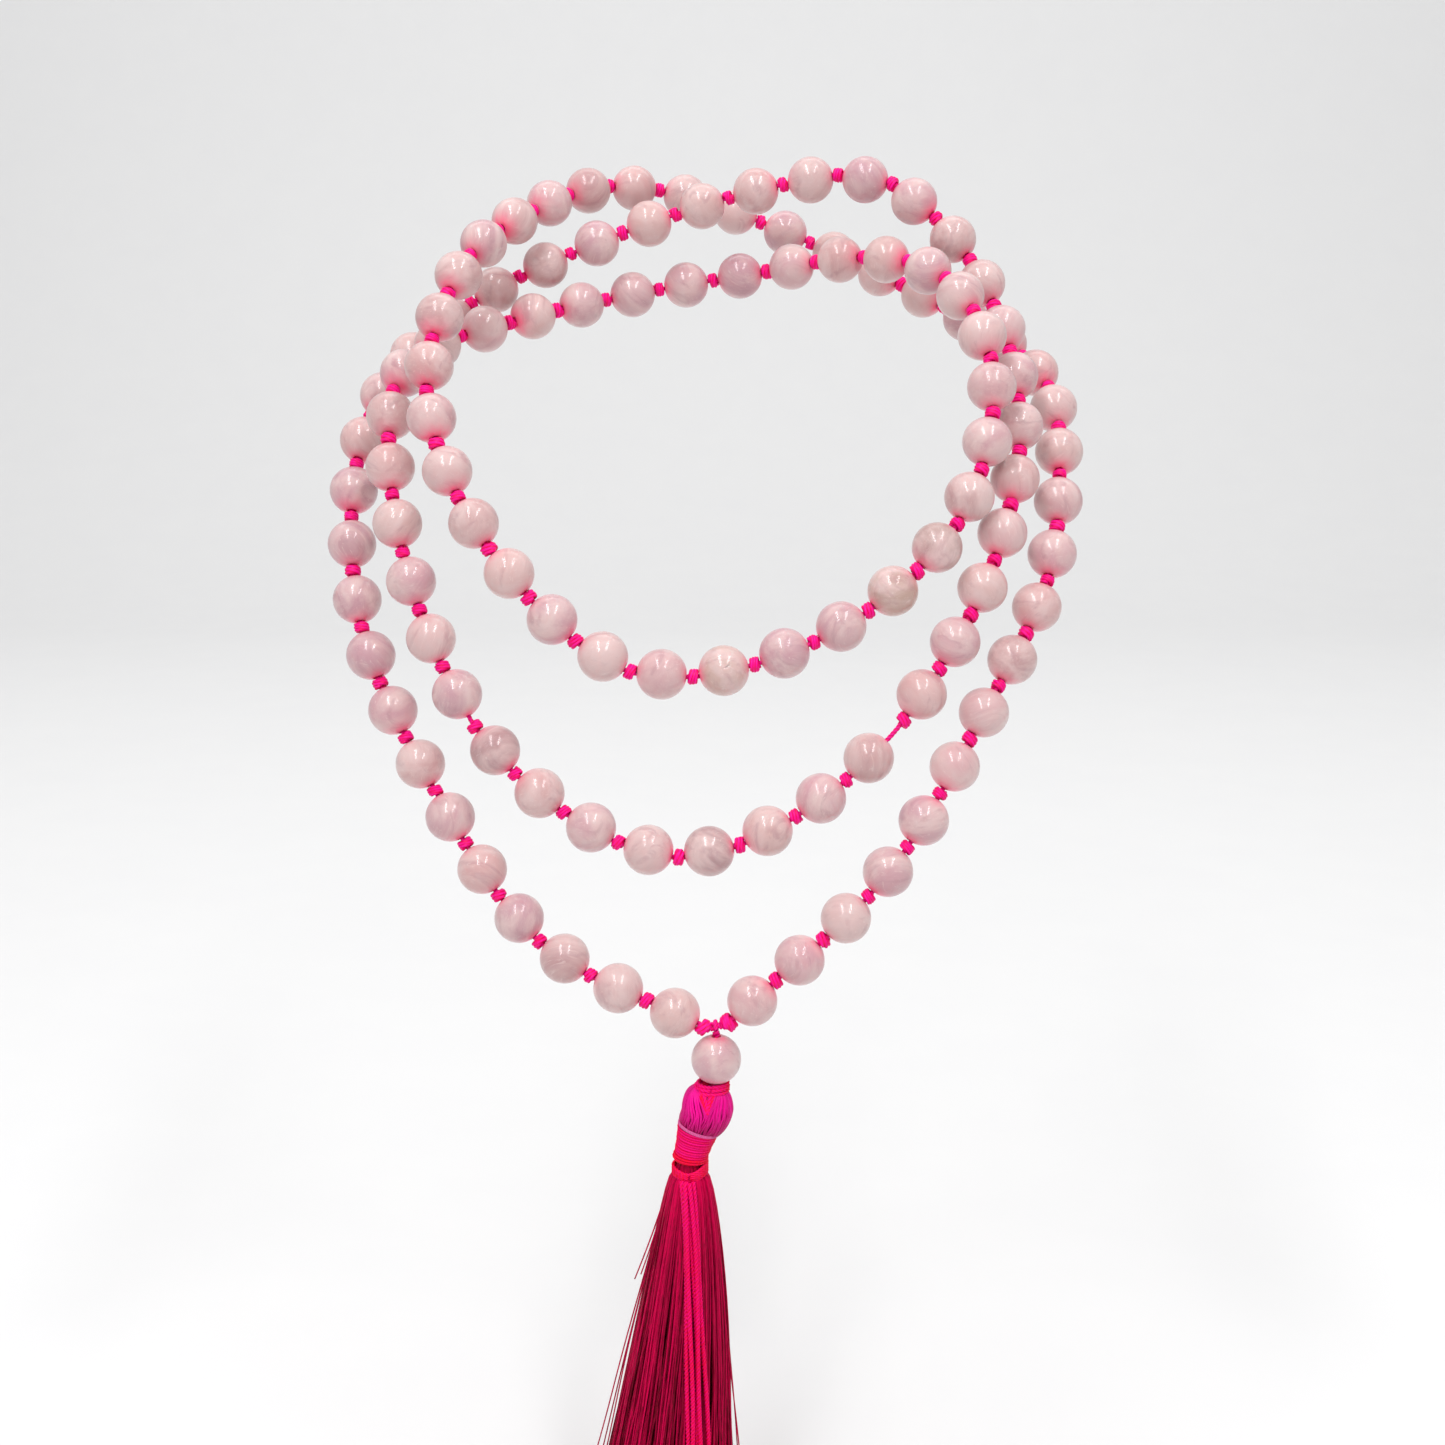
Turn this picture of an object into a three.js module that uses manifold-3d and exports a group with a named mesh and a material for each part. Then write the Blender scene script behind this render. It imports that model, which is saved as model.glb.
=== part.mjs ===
// Mala prayer beads: a knotted strand of 108 stone beads laid three times round a neck,
// with a guru bead and a thread tassel hanging at the middle of the chest.
// Millimetres, +Z up. X runs to the wearer's left, and -Y faces forward, away from the chest.
// The origin is on the back of the neck, where the strand rests.
import * as THREE from 'three';
import { mergeVertices } from 'three/addons/utils/BufferGeometryUtils.js';
import Module from 'manifold-3d';

const wasm = await Module();
wasm.setup();

// Beads and cord
const BEAD_RADIUS = 4;
const BORE_RADIUS = 0.75;
const CORD_RADIUS = 0.42;
const KNOT_RADIUS = 1.15;
const KNOT_BELLY = 0.3;
const KNOT_HALF_LENGTH = 0.68;
const KNOT_FACE_RADIUS = 0.78;
const PIECE_GAP = 0.3;
const CORD_SIDES = 8;
const BEAD_SIDES = 10;
const BEAD_BANDS = 6;

// How many beads lie in each stretch of the strand, in order along the cord. The first two beads of
// the middle loop lie under the inner loop and stay put when the rest of their loop is lifted.
const OUTER_LEFT_BEADS = 10;
const UPPER_RUN_BEADS = 21;
const MIDDLE_LOOP_BEADS = 14;
const LOWER_RUN_BEADS = 19;
const INNER_LOOP_BEADS = 14;
const CROSSING_RUN_BEADS = 20;
const OUTER_RIGHT_BEADS = 10;
const TUCKED_BEADS = 2;
const STRAND_BEADS = 108;

// Bare cord left beyond two of the knots, where the beads sit further apart
const LONG_GAP_KNOT = 35;
const LONG_GAP = 3.2;
const SHORT_GAP_KNOT = 43;
const SHORT_GAP = 1;

// The way the cord lies, from the junction round and back to the junction
const OUTER_LEFT_ROUTE = [
  [-0.5, -63, -122.7],
  [-26, -57, -111.5],
  [-44, -49.5, -87.5],
  [-56.5, -40, -62.5],
  [-59, -25, -37],
];
const UPPER_RUN_ROUTE = [
  [-54, -13, -23],
  [-42, -3.5, -11],
  [-25, 0.5, -2.5],
  [-6, 1.5, 4.5],
  [13, -1, 9.5],
  [29, -5, 10.5],
  [41, -10, 1.5],
  [48, -17.5, -10.5],
  [51, -28.5, -24],
  [50, -38.5, -38],
];
const MIDDLE_LOOP_ROUTE = [
  [41.5, -50, -59.5],
  [22, -56, -84.5],
  [-4.5, -58, -96.5],
  [-31.5, -53.5, -83],
  [-46, -46.5, -58.5],
];
const LOWER_RUN_ROUTE = [
  [-52, -34, -32],
  [-50, -21.5, -20],
  [-36, -9.5, -14.5],
  [-15, 3, -9.5],
  [9, 3.5, -5.5],
  [26, -6.5, -3],
  [37, -17, -5],
  [43.5, -28.5, -12],
  [46, -38.5, -25.5],
];
const INNER_LOOP_ROUTE = [
  [39, -48.5, -45.5],
  [16.5, -53.5, -63],
  [-11.5, -54.5, -67.5],
  [-34, -51, -48.5],
  [-45, -38, -25],
];
const CROSSING_RUN_ROUTE = [
  [-41, -21, -5],
  [-33, -6, 3.5],
  [-18, 11, 10],
  [-2, 16.5, 8],
  [13, 17.5, 2.5],
  [28, 14, -4],
  [41, 5, -10.5],
  [52.5, -5, -18],
  [58.5, -17, -25.5],
];
const OUTER_RIGHT_ROUTE = [
  [58.5, -29, -37],
  [55, -41.5, -55],
  [44, -51.5, -74.5],
  [28, -59.5, -99.5],
  [3.5, -63, -122],
];
const ROUTE_SAMPLES = 6000;
const MERGE_DISTANCE = 1e-5;
const FIRST_SIDE_HINT = [0.3, 0.2, 1];

// Guru bead and its cord, which hangs by a loop from the cord between the two junction knots
const GURU_DROP = 6;
const HANGER_LOOP_RADIUS = 1.12;
const HANGER_LOOP_CORD_RADIUS = 0.4;
const GURU_LOWER_KNOT_RADIUS = 0.85;
const GURU_LOWER_KNOT_DROP = 4.85;
const LOWER_KNOT_SIDES = 10;
const HANGER_LOOP_SIDES = 14;

// Tassel: a folded head, a wound wrap below it that leans to one side, then the loose skirt
const HEAD_RADIUS = 3.75;
const HEAD_DROP = 4.2;
const HEAD_LEAN = 1.5;
const HEAD_SIDES = 20;
const CUP_SIDES = 12;
const CUP_EXTRA = 0.1;
const WRAP_TOP_DROP = 2.9;
const WRAP_TOP_LEAN = 1.1;
const WRAP_TOP_RADIUS = 3;
const WRAP_WAIST_RADIUS = 3.45;
const WRAP_LOW_RADIUS = 3.05;
const WRAP_LENGTH = 4.8;
const WRAP_LEAN = 1.8;
const WRAP_RIM = 0.5;
const WRAP_WAIST_SHARE = 0.45;
const WRAP_SIDES = 20;
const WRAP_SEAT_SIDES = 28;
const SKIRT_NECK_RADIUS = 1.75;
const SKIRT_NECK_LENGTH = 3.1;
const SKIRT_NECK_SIDES = 16;
const SKIRT_NECK_SLANT = 0.15;
const SKIRT_NECK_SLANT_DROP = 3;
const SKIRT_TOP_DROP = 0.2;
const SKIRT_SHOULDER_HEIGHT = 0.9;
const SKIRT_DROPS = [12, 24, 38, 52];
const SKIRT_LENGTH = 65;
const SKIRT_SHOULDER_RADIUS = 3.3;
const SKIRT_TIP_HALF_WIDTH = 10.5;
const SKIRT_TIP_HALF_DEPTH = 6.5;
const SKIRT_LEAN = 3.4;
const SKIRT_SPREAD_POWER = 0.8;
const SKIRT_SIDES = 28;
const SKIRT_RIB = 0.06;
const COLLAR_DROP = 2.3;
const COLLAR_RADIUS = 2.5;
const COLLAR_CORD_RADIUS = 0.45;
const COLLAR_SIDES = 20;
const TAIL_RADIUS = 0.42;
const TAIL_SPREAD = [3.5, 4.7, 5.9, 7.1, 8.3];
const TAIL_LENGTHS = [61, 63, 60, 62.5, 59];
const TAIL_TOP_SPREAD = 0.75;
const TAIL_SPREAD_POWER = 0.8;
const TAIL_SIDE_ROOM = 1.2;
const TAIL_STATIONS = [0, 0.012, 0.04, 0.12, 0.24, 0.38, 0.54, 0.7, 0.86, 1];

const UP = new THREE.Vector3(0, 1, 0);

function material(color, roughness) {
  return new THREE.MeshStandardMaterial({ color, roughness, metalness: 0 });
}

const STONE = material(0xe3bfc6, 0.25);
const CORD = material(0xff1493, 0.8);
const HEAD_THREAD = material(0xd61a96, 0.7);
const WRAP_THREAD = material(0xff0a70, 0.75);
const SKIRT_THREAD = material(0xb00a60, 0.7);

// A closed geometry as a solid that can be joined and cut
function solid(geometry) {
  const plain = geometry.clone();
  plain.deleteAttribute('normal');
  plain.deleteAttribute('uv');
  const merged = mergeVertices(plain, MERGE_DISTANCE);
  return new wasm.Manifold(new wasm.Mesh({
    numProp: 3,
    vertProperties: new Float32Array(merged.attributes.position.array),
    triVerts: new Uint32Array(merged.index.array),
  }));
}

function toGeometry(joined) {
  const mesh = joined.getMesh();
  const geometry = new THREE.BufferGeometry();
  geometry.setAttribute('position', new THREE.BufferAttribute(mesh.vertProperties, 3));
  geometry.setIndex(new THREE.BufferAttribute(mesh.triVerts, 1));
  geometry.computeVertexNormals();
  return geometry;
}

function join(solids) {
  return solids.reduce((whole, next) => whole.add(next));
}

// Turns and moves a shape made along Y so that it lies along a direction at a place
function placeAlong(geometry, direction, place) {
  const turn = new THREE.Quaternion().setFromUnitVectors(UP, direction.clone().normalize());
  geometry.applyQuaternion(turn);
  geometry.translate(place.x, place.y, place.z);
  return geometry;
}

function rod(from, to, radius) {
  const along = to.clone().sub(from);
  const geometry = new THREE.CylinderGeometry(radius, radius, along.length(), CORD_SIDES, 1);
  return solid(placeAlong(geometry, along, from.clone().add(to).multiplyScalar(0.5)));
}

function ball(place, radius, sides) {
  const geometry = new THREE.SphereGeometry(radius, sides, Math.ceil(sides / 2) + 2);
  geometry.translate(place.x, place.y, place.z);
  return solid(geometry);
}

// The strand: where each bead's bore starts and ends along the cord, and where each knot sits
const route = [
  ...OUTER_LEFT_ROUTE,
  ...UPPER_RUN_ROUTE,
  ...MIDDLE_LOOP_ROUTE,
  ...LOWER_RUN_ROUTE,
  ...INNER_LOOP_ROUTE,
  ...CROSSING_RUN_ROUTE,
  ...OUTER_RIGHT_ROUTE,
].map(([x, y, z]) => new THREE.Vector3(x, y, z));
const strand = new THREE.CatmullRomCurve3(route, false, 'centripetal');
strand.arcLengthDivisions = ROUTE_SAMPLES;
const strandLength = strand.getLength();
const pitch = (strandLength - LONG_GAP - SHORT_GAP) / STRAND_BEADS;
const slack = { [LONG_GAP_KNOT]: LONG_GAP, [SHORT_GAP_KNOT]: SHORT_GAP };

const beadStart = [];
const beadEnd = [];
const knots = [strand.getPointAt(0)];
let travelled = 0;
for (let index = 0; index < STRAND_BEADS; index += 1) {
  travelled += slack[index] ?? 0;
  beadStart.push(strand.getPointAt(travelled / strandLength));
  travelled += pitch;
  beadEnd.push(strand.getPointAt(Math.min(travelled / strandLength, 1)));
  knots.push(beadEnd[index]);
}

function beadCentre(index) {
  return beadStart[index].clone().add(beadEnd[index]).multiplyScalar(0.5);
}

function beadAxis(index) {
  return beadEnd[index].clone().sub(beadStart[index]).normalize();
}

// A knot lies along the mean of the cord's directions on its two sides
function knotAxis(index) {
  const before = beadAxis(Math.max(index - 1, 0));
  const after = beadAxis(Math.min(index, STRAND_BEADS - 1));
  return before.add(after).normalize();
}

const parts = new THREE.Group();
parts.name = 'mala_prayer_beads';

function addPart(name, geometry, look, place = new THREE.Vector3(), turn = new THREE.Quaternion()) {
  const mesh = new THREE.Mesh(geometry, look);
  mesh.name = name;
  mesh.position.copy(place);
  mesh.quaternion.copy(turn);
  parts.add(mesh);
  return mesh;
}

// A drilled bead about Y: out over the ball from one bore mouth to the other, then back up the bore
function drilledBead() {
  const mouthAngle = Math.asin(BORE_RADIUS / BEAD_RADIUS);
  const profile = [];
  for (let band = 0; band <= BEAD_BANDS; band += 1) {
    const angle = mouthAngle + ((Math.PI - 2 * mouthAngle) * band) / BEAD_BANDS;
    profile.push(new THREE.Vector2(BEAD_RADIUS * Math.sin(angle), -BEAD_RADIUS * Math.cos(angle)));
  }
  profile.push(profile[0].clone());
  return new THREE.LatheGeometry(profile, BEAD_SIDES);
}

function addBead(name, centre, axis) {
  const turn = new THREE.Quaternion().setFromUnitVectors(UP, axis);
  return addPart(name, drilledBead(), STONE, centre, turn);
}

function addLoopBeads(prefix, first, count, firstNumber = 1) {
  for (let step = 0; step < count; step += 1) {
    const number = String(firstNumber + step).padStart(2, '0');
    addBead(`${prefix}_bead_${number}`, beadCentre(first + step), beadAxis(first + step));
  }
}

// Joins rings of points, one after another, into a closed skin with a flat cap at each end
function skin(rings) {
  const sides = rings[0].length;
  const mean = (ring) => ring.reduce((sum, p) => sum.add(p), new THREE.Vector3()).divideScalar(sides);
  const points = [...rings.flat(), mean(rings[0]), mean(rings[rings.length - 1])];
  const firstCap = points.length - 2;
  const lastRing = (rings.length - 1) * sides;
  const indices = [];
  for (let side = 0; side < sides; side += 1) {
    const next = (side + 1) % sides;
    for (let ring = 0; ring < rings.length - 1; ring += 1) {
      const here = ring * sides;
      const there = here + sides;
      indices.push(here + side, here + next, there + next);
      indices.push(here + side, there + next, there + side);
    }
    indices.push(firstCap, next, side);
    indices.push(firstCap + 1, lastRing + side, lastRing + next);
  }
  const geometry = new THREE.BufferGeometry().setFromPoints(points);
  geometry.setIndex(indices);
  geometry.computeVertexNormals();
  return geometry;
}

// Round sections of given radius, centre and direction, kept from twisting from one to the next
function roundSections(sections) {
  const side = new THREE.Vector3(...FIRST_SIDE_HINT);
  return sections.map(({ centre, axis, radius }) => {
    side.addScaledVector(axis, -side.dot(axis)).normalize();
    const across = axis.clone().cross(side);
    const ring = [];
    for (let step = 0; step < CORD_SIDES; step += 1) {
      const angle = (step / CORD_SIDES) * Math.PI * 2;
      const point = centre.clone().addScaledVector(side, Math.cos(angle) * radius);
      ring.push(point.addScaledVector(across, Math.sin(angle) * radius));
    }
    return ring;
  });
}

function section(centre, axis, along, radius) {
  return { centre: centre.clone().addScaledVector(axis, along), axis, radius };
}

function knotSections(index) {
  const axis = knotAxis(index);
  return [
    section(knots[index], axis, -KNOT_BELLY, KNOT_RADIUS),
    section(knots[index], axis, KNOT_BELLY, KNOT_RADIUS),
  ];
}

// Cord from one knot to another, straight through every bore, with a knot between each two beads.
// A cord that starts or ends without a knot of its own stops clear of the knot it meets.
function loopCord(firstBead, lastBead, knotFirst, knotLast) {
  const clear = Math.hypot(KNOT_RADIUS, KNOT_BELLY) + PIECE_GAP;
  const sections = [];
  if (knotFirst) {
    sections.push(section(knots[firstBead], beadAxis(firstBead), -KNOT_HALF_LENGTH, KNOT_FACE_RADIUS));
    sections.push(...knotSections(firstBead));
  }
  for (let bead = firstBead; bead <= lastBead; bead += 1) {
    const axis = beadAxis(bead);
    const fromKnot = bead > firstBead || knotFirst;
    const toKnot = bead < lastBead || knotLast;
    if (slack[bead]) {
      const bare = beadStart[bead].clone().sub(knots[bead]).normalize();
      sections.push(section(knots[bead], bare, KNOT_HALF_LENGTH, CORD_RADIUS));
      sections.push(section(beadStart[bead], axis, 0, CORD_RADIUS));
    } else {
      sections.push(section(beadStart[bead], axis, fromKnot ? KNOT_HALF_LENGTH : clear, CORD_RADIUS));
    }
    sections.push(section(beadEnd[bead], axis, toKnot ? -KNOT_HALF_LENGTH : -clear, CORD_RADIUS));
    if (toKnot) {
      sections.push(...knotSections(bead + 1));
    }
  }
  if (knotLast) {
    const end = knots[lastBead + 1];
    sections.push(section(end, beadAxis(lastBead), KNOT_HALF_LENGTH, KNOT_FACE_RADIUS));
  }
  return skin(roundSections(sections));
}

// A stretch behind the neck: its beads, knots and cord move as one. Past its last bead its cord can
// go on through drilled beads, which are pieces of their own.
function neckRun(firstBead, lastBead, drilledBeads = 0) {
  const mouth = Math.sqrt(BEAD_RADIUS ** 2 - CORD_RADIUS ** 2);
  const shoulder = BEAD_RADIUS * Math.SQRT1_2;
  const firstKnot = knots[firstBead];
  const endBead = lastBead + drilledBeads;
  const endKnot = knots[endBead + 1];
  const sections = [
    section(firstKnot, beadAxis(firstBead), -KNOT_HALF_LENGTH, KNOT_FACE_RADIUS),
    section(firstKnot, beadAxis(firstBead), -KNOT_BELLY, KNOT_RADIUS),
    section(firstKnot, beadAxis(firstBead), KNOT_BELLY, KNOT_RADIUS),
  ];
  for (let bead = firstBead; bead <= lastBead; bead += 1) {
    const axis = beadAxis(bead);
    const centre = beadCentre(bead);
    if (bead > firstBead) {
      sections.push(section(knots[bead], knotAxis(bead), 0, KNOT_RADIUS));
    }
    sections.push(section(centre, axis, -mouth, CORD_RADIUS));
    sections.push(section(centre, axis, -shoulder, shoulder));
    sections.push(section(centre, axis, 0, BEAD_RADIUS));
    sections.push(section(centre, axis, shoulder, shoulder));
    sections.push(section(centre, axis, mouth, CORD_RADIUS));
  }
  for (let bead = lastBead + 1; bead <= endBead; bead += 1) {
    sections.push(...knotSections(bead));
    sections.push(section(beadStart[bead], beadAxis(bead), KNOT_HALF_LENGTH, CORD_RADIUS));
    sections.push(section(beadEnd[bead], beadAxis(bead), -KNOT_HALF_LENGTH, CORD_RADIUS));
  }
  sections.push(section(endKnot, beadAxis(endBead), -KNOT_BELLY, KNOT_RADIUS));
  sections.push(section(endKnot, beadAxis(endBead), KNOT_BELLY, KNOT_RADIUS));
  sections.push(section(endKnot, beadAxis(endBead), KNOT_HALF_LENGTH, KNOT_FACE_RADIUS));
  return skin(roundSections(sections));
}

const upperRunFirst = OUTER_LEFT_BEADS;
const middleFirst = upperRunFirst + UPPER_RUN_BEADS;
const lowerRunFirst = middleFirst + MIDDLE_LOOP_BEADS;
const innerFirst = lowerRunFirst + LOWER_RUN_BEADS;
const crossingRunFirst = innerFirst + INNER_LOOP_BEADS;
const outerRightFirst = crossingRunFirst + CROSSING_RUN_BEADS;

addPart('neck_run_upper', neckRun(upperRunFirst, middleFirst - 1, TUCKED_BEADS), STONE);
addPart('neck_run_lower', neckRun(lowerRunFirst, innerFirst - 1), STONE);
addPart('neck_run_crossing', neckRun(crossingRunFirst, outerRightFirst - 1), STONE);

addPart('inner_loop_cord', loopCord(innerFirst, crossingRunFirst - 1, false, false), CORD);
addPart('middle_loop_cord', loopCord(middleFirst + TUCKED_BEADS, lowerRunFirst - 1, false, false), CORD);
addLoopBeads('inner', innerFirst, INNER_LOOP_BEADS);
addLoopBeads('middle', middleFirst, MIDDLE_LOOP_BEADS);
addLoopBeads('outer', 0, OUTER_LEFT_BEADS);
addLoopBeads('outer', outerRightFirst, OUTER_RIGHT_BEADS, OUTER_LEFT_BEADS + 1);

// The outer loop's cord, with both ends of the strand brought together at the junction
const leftEnd = knots[0];
const rightEnd = knots[STRAND_BEADS];
const junction = leftEnd.clone().add(rightEnd).multiplyScalar(0.5);
const outerCord = join([
  solid(loopCord(0, OUTER_LEFT_BEADS - 1, true, false)),
  rod(leftEnd, rightEnd, CORD_RADIUS),
  solid(loopCord(outerRightFirst, STRAND_BEADS - 1, false, true)),
]);
addPart('outer_loop_cord', toGeometry(outerCord), CORD);

// Guru cord: a loop round the junction cord, down through the guru bead to a knot in the tassel
const bridge = rightEnd.clone().sub(leftEnd).normalize();
const guruCentre = junction.clone().add(new THREE.Vector3(0, 0, -GURU_DROP));
const lowerKnot = guruCentre.clone().add(new THREE.Vector3(0, 0, -GURU_LOWER_KNOT_DROP));
const hangerLoop = new THREE.TorusGeometry(
  HANGER_LOOP_RADIUS,
  HANGER_LOOP_CORD_RADIUS,
  CORD_SIDES,
  HANGER_LOOP_SIDES,
);
hangerLoop.applyQuaternion(new THREE.Quaternion().setFromUnitVectors(new THREE.Vector3(0, 0, 1), bridge));
hangerLoop.translate(junction.x, junction.y, junction.z);
const hangerTop = junction.clone().add(new THREE.Vector3(0, 0, -HANGER_LOOP_RADIUS));
const guruCord = join([
  solid(hangerLoop),
  rod(hangerTop, lowerKnot, CORD_RADIUS),
  ball(lowerKnot, GURU_LOWER_KNOT_RADIUS, LOWER_KNOT_SIDES),
]);
addPart('guru_cord', toGeometry(guruCord), CORD);
addBead('guru_bead', guruCentre, new THREE.Vector3(0, 0, -1));

// Tassel head: a ball of folded thread, cupped at the top for the knot and at the bottom for the wrap
const headCentre = lowerKnot.clone().add(new THREE.Vector3(-HEAD_LEAN, 0, -HEAD_DROP));
const wrapTop = headCentre.clone().add(new THREE.Vector3(-WRAP_TOP_LEAN, 0, -WRAP_TOP_DROP));
const skirtPivot = wrapTop.clone().add(new THREE.Vector3(-WRAP_LEAN, 0, -WRAP_LENGTH));
const headBall = ball(headCentre, HEAD_RADIUS, HEAD_SIDES);
const knotCup = ball(lowerKnot, GURU_LOWER_KNOT_RADIUS + PIECE_GAP + CUP_EXTRA, CUP_SIDES);
const wrapAxis = wrapTop.clone().sub(skirtPivot).normalize();
const wrapProfile = [
  new THREE.Vector2(0, 0),
  new THREE.Vector2(WRAP_LOW_RADIUS - WRAP_RIM, 0),
  new THREE.Vector2(WRAP_LOW_RADIUS, WRAP_RIM),
  new THREE.Vector2(WRAP_WAIST_RADIUS, WRAP_LENGTH * WRAP_WAIST_SHARE),
  new THREE.Vector2(WRAP_TOP_RADIUS, WRAP_LENGTH - WRAP_RIM),
  new THREE.Vector2(WRAP_TOP_RADIUS - WRAP_RIM, WRAP_LENGTH),
  new THREE.Vector2(0, WRAP_LENGTH),
];
const wrapBody = solid(placeAlong(new THREE.LatheGeometry(wrapProfile, WRAP_SIDES), wrapAxis, skirtPivot));
const wrapKeepOut = ball(headCentre, HEAD_RADIUS + PIECE_GAP, WRAP_SEAT_SIDES);
const neckCup = ball(skirtPivot, SKIRT_NECK_RADIUS + PIECE_GAP + CUP_EXTRA, SKIRT_NECK_SIDES);
addPart('tassel_head', toGeometry(headBall.subtract(knotCup)), HEAD_THREAD);
addPart('tassel_wrap', toGeometry(wrapBody.subtract(wrapKeepOut).subtract(neckCup)), WRAP_THREAD);

// Skirt: a narrow neck in the wrap's cup, then thread that spreads and leans towards its tips
function skirtRing(down) {
  const fall = Math.max(down - SKIRT_NECK_LENGTH, 0) / (SKIRT_LENGTH - SKIRT_NECK_LENGTH);
  const spread = fall ** SKIRT_SPREAD_POWER;
  const slant = SKIRT_NECK_SLANT * Math.min(down, SKIRT_NECK_SLANT_DROP);
  const centre = new THREE.Vector3(-slant - SKIRT_LEAN * fall, 0, -down);
  const halfWidth = SKIRT_SHOULDER_RADIUS + (SKIRT_TIP_HALF_WIDTH - SKIRT_SHOULDER_RADIUS) * spread;
  const halfDepth = SKIRT_SHOULDER_RADIUS + (SKIRT_TIP_HALF_DEPTH - SKIRT_SHOULDER_RADIUS) * spread;
  const atNeck = down <= SKIRT_NECK_LENGTH;
  return {
    centre: centre.add(skirtPivot),
    halfWidth: atNeck ? SKIRT_NECK_RADIUS : halfWidth,
    halfDepth: atNeck ? SKIRT_NECK_RADIUS : halfDepth,
    rib: atNeck ? 0 : SKIRT_RIB,
  };
}

function skirtSection(down) {
  const { centre, halfWidth, halfDepth, rib } = skirtRing(down);
  const ring = [];
  for (let side = 0; side < SKIRT_SIDES; side += 1) {
    const angle = (-side / SKIRT_SIDES) * Math.PI * 2;
    const swell = 1 + (side % 2 ? -rib : rib);
    const offset = new THREE.Vector3(Math.cos(angle) * halfWidth, Math.sin(angle) * halfDepth, 0);
    ring.push(offset.multiplyScalar(swell).add(centre));
  }
  return ring;
}

const skirtDrops = [
  SKIRT_TOP_DROP,
  SKIRT_NECK_LENGTH,
  SKIRT_NECK_LENGTH + SKIRT_SHOULDER_HEIGHT,
  ...SKIRT_DROPS,
  SKIRT_LENGTH,
];
const skirtBody = solid(skin(skirtDrops.map(skirtSection)));
const skirtNeckBall = ball(skirtPivot, SKIRT_NECK_RADIUS, SKIRT_NECK_SIDES);
addPart('tassel_skirt', toGeometry(join([skirtBody, skirtNeckBall])), SKIRT_THREAD);

// The cord's own ends: a collar round the skirt's neck, and tails down the front of the skirt
const collarCentre = skirtRing(COLLAR_DROP).centre;
const collar = new THREE.TorusGeometry(COLLAR_RADIUS, COLLAR_CORD_RADIUS, CORD_SIDES, COLLAR_SIDES);
collar.translate(collarCentre.x, collarCentre.y, collarCentre.z);
const tailPieces = [solid(collar)];
TAIL_LENGTHS.forEach((length, index) => {
  const across = index - (TAIL_LENGTHS.length - 1) / 2;
  const centres = TAIL_STATIONS.map((station) => {
    const along = station * length;
    const down = Math.min(COLLAR_DROP + along, SKIRT_LENGTH);
    const ring = skirtRing(down);
    const aside = station ** TAIL_SPREAD_POWER;
    const spread = TAIL_TOP_SPREAD * across * (1 - aside) + TAIL_SPREAD[index] * aside;
    const halfWidth = Math.max(ring.halfWidth, SKIRT_SHOULDER_RADIUS);
    const halfDepth = Math.max(ring.halfDepth, SKIRT_SHOULDER_RADIUS);
    const roundness = Math.sqrt(1 - (spread / (halfWidth + TAIL_SIDE_ROOM)) ** 2);
    const surface = halfDepth * roundness * (1 + SKIRT_RIB);
    const onCollar = Math.sqrt(Math.max(COLLAR_RADIUS ** 2 - spread ** 2, 0));
    const out = along === 0 ? onCollar : surface + PIECE_GAP + TAIL_RADIUS;
    return new THREE.Vector3(ring.centre.x + spread, skirtPivot.y - out, skirtPivot.z - down);
  });
  const sections = centres.map((centre, place) => {
    const before = centres[Math.max(place - 1, 0)];
    const after = centres[Math.min(place + 1, centres.length - 1)];
    return { centre, axis: after.clone().sub(before).normalize(), radius: TAIL_RADIUS };
  });
  tailPieces.push(solid(skin(roundSections(sections))));
});
addPart('cord_tails', toGeometry(join(tailPieces)), CORD);

export default parts;
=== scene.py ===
"""Mala prayer beads: 108 drilled rose-quartz beads and a guru bead knotted on a hot-pink cord, laid
three times round a neck, with a thread tassel. Lengths in the code are millimetres in the frame's
axes, and become metres where a mesh is made."""
import math

import bpy
import numpy as np
from mathutils import Matrix, Vector


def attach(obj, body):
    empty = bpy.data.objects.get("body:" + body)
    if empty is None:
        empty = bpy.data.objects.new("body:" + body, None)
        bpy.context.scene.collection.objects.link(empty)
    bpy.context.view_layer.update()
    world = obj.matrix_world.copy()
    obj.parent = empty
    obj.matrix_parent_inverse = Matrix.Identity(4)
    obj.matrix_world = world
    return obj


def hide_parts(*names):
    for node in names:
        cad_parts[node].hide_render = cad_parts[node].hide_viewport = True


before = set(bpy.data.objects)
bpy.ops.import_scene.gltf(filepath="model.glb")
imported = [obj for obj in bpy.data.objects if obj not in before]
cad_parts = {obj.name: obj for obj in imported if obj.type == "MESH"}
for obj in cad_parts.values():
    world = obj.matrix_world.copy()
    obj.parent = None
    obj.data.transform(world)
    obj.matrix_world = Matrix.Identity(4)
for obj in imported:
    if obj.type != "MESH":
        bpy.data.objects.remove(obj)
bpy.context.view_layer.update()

MM = 0.001
RANDOM = np.random.default_rng(108)

# ---------------------------------------------------------------- camera
CAMERA_PLACE = (2.5, -354.94, -11.63)
CAMERA_TILT = 12.0
CAMERA_LENS = 48.58
SENSOR_WIDTH = 36.0
CLIP_START, CLIP_END = 0.01, 50.0

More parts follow.
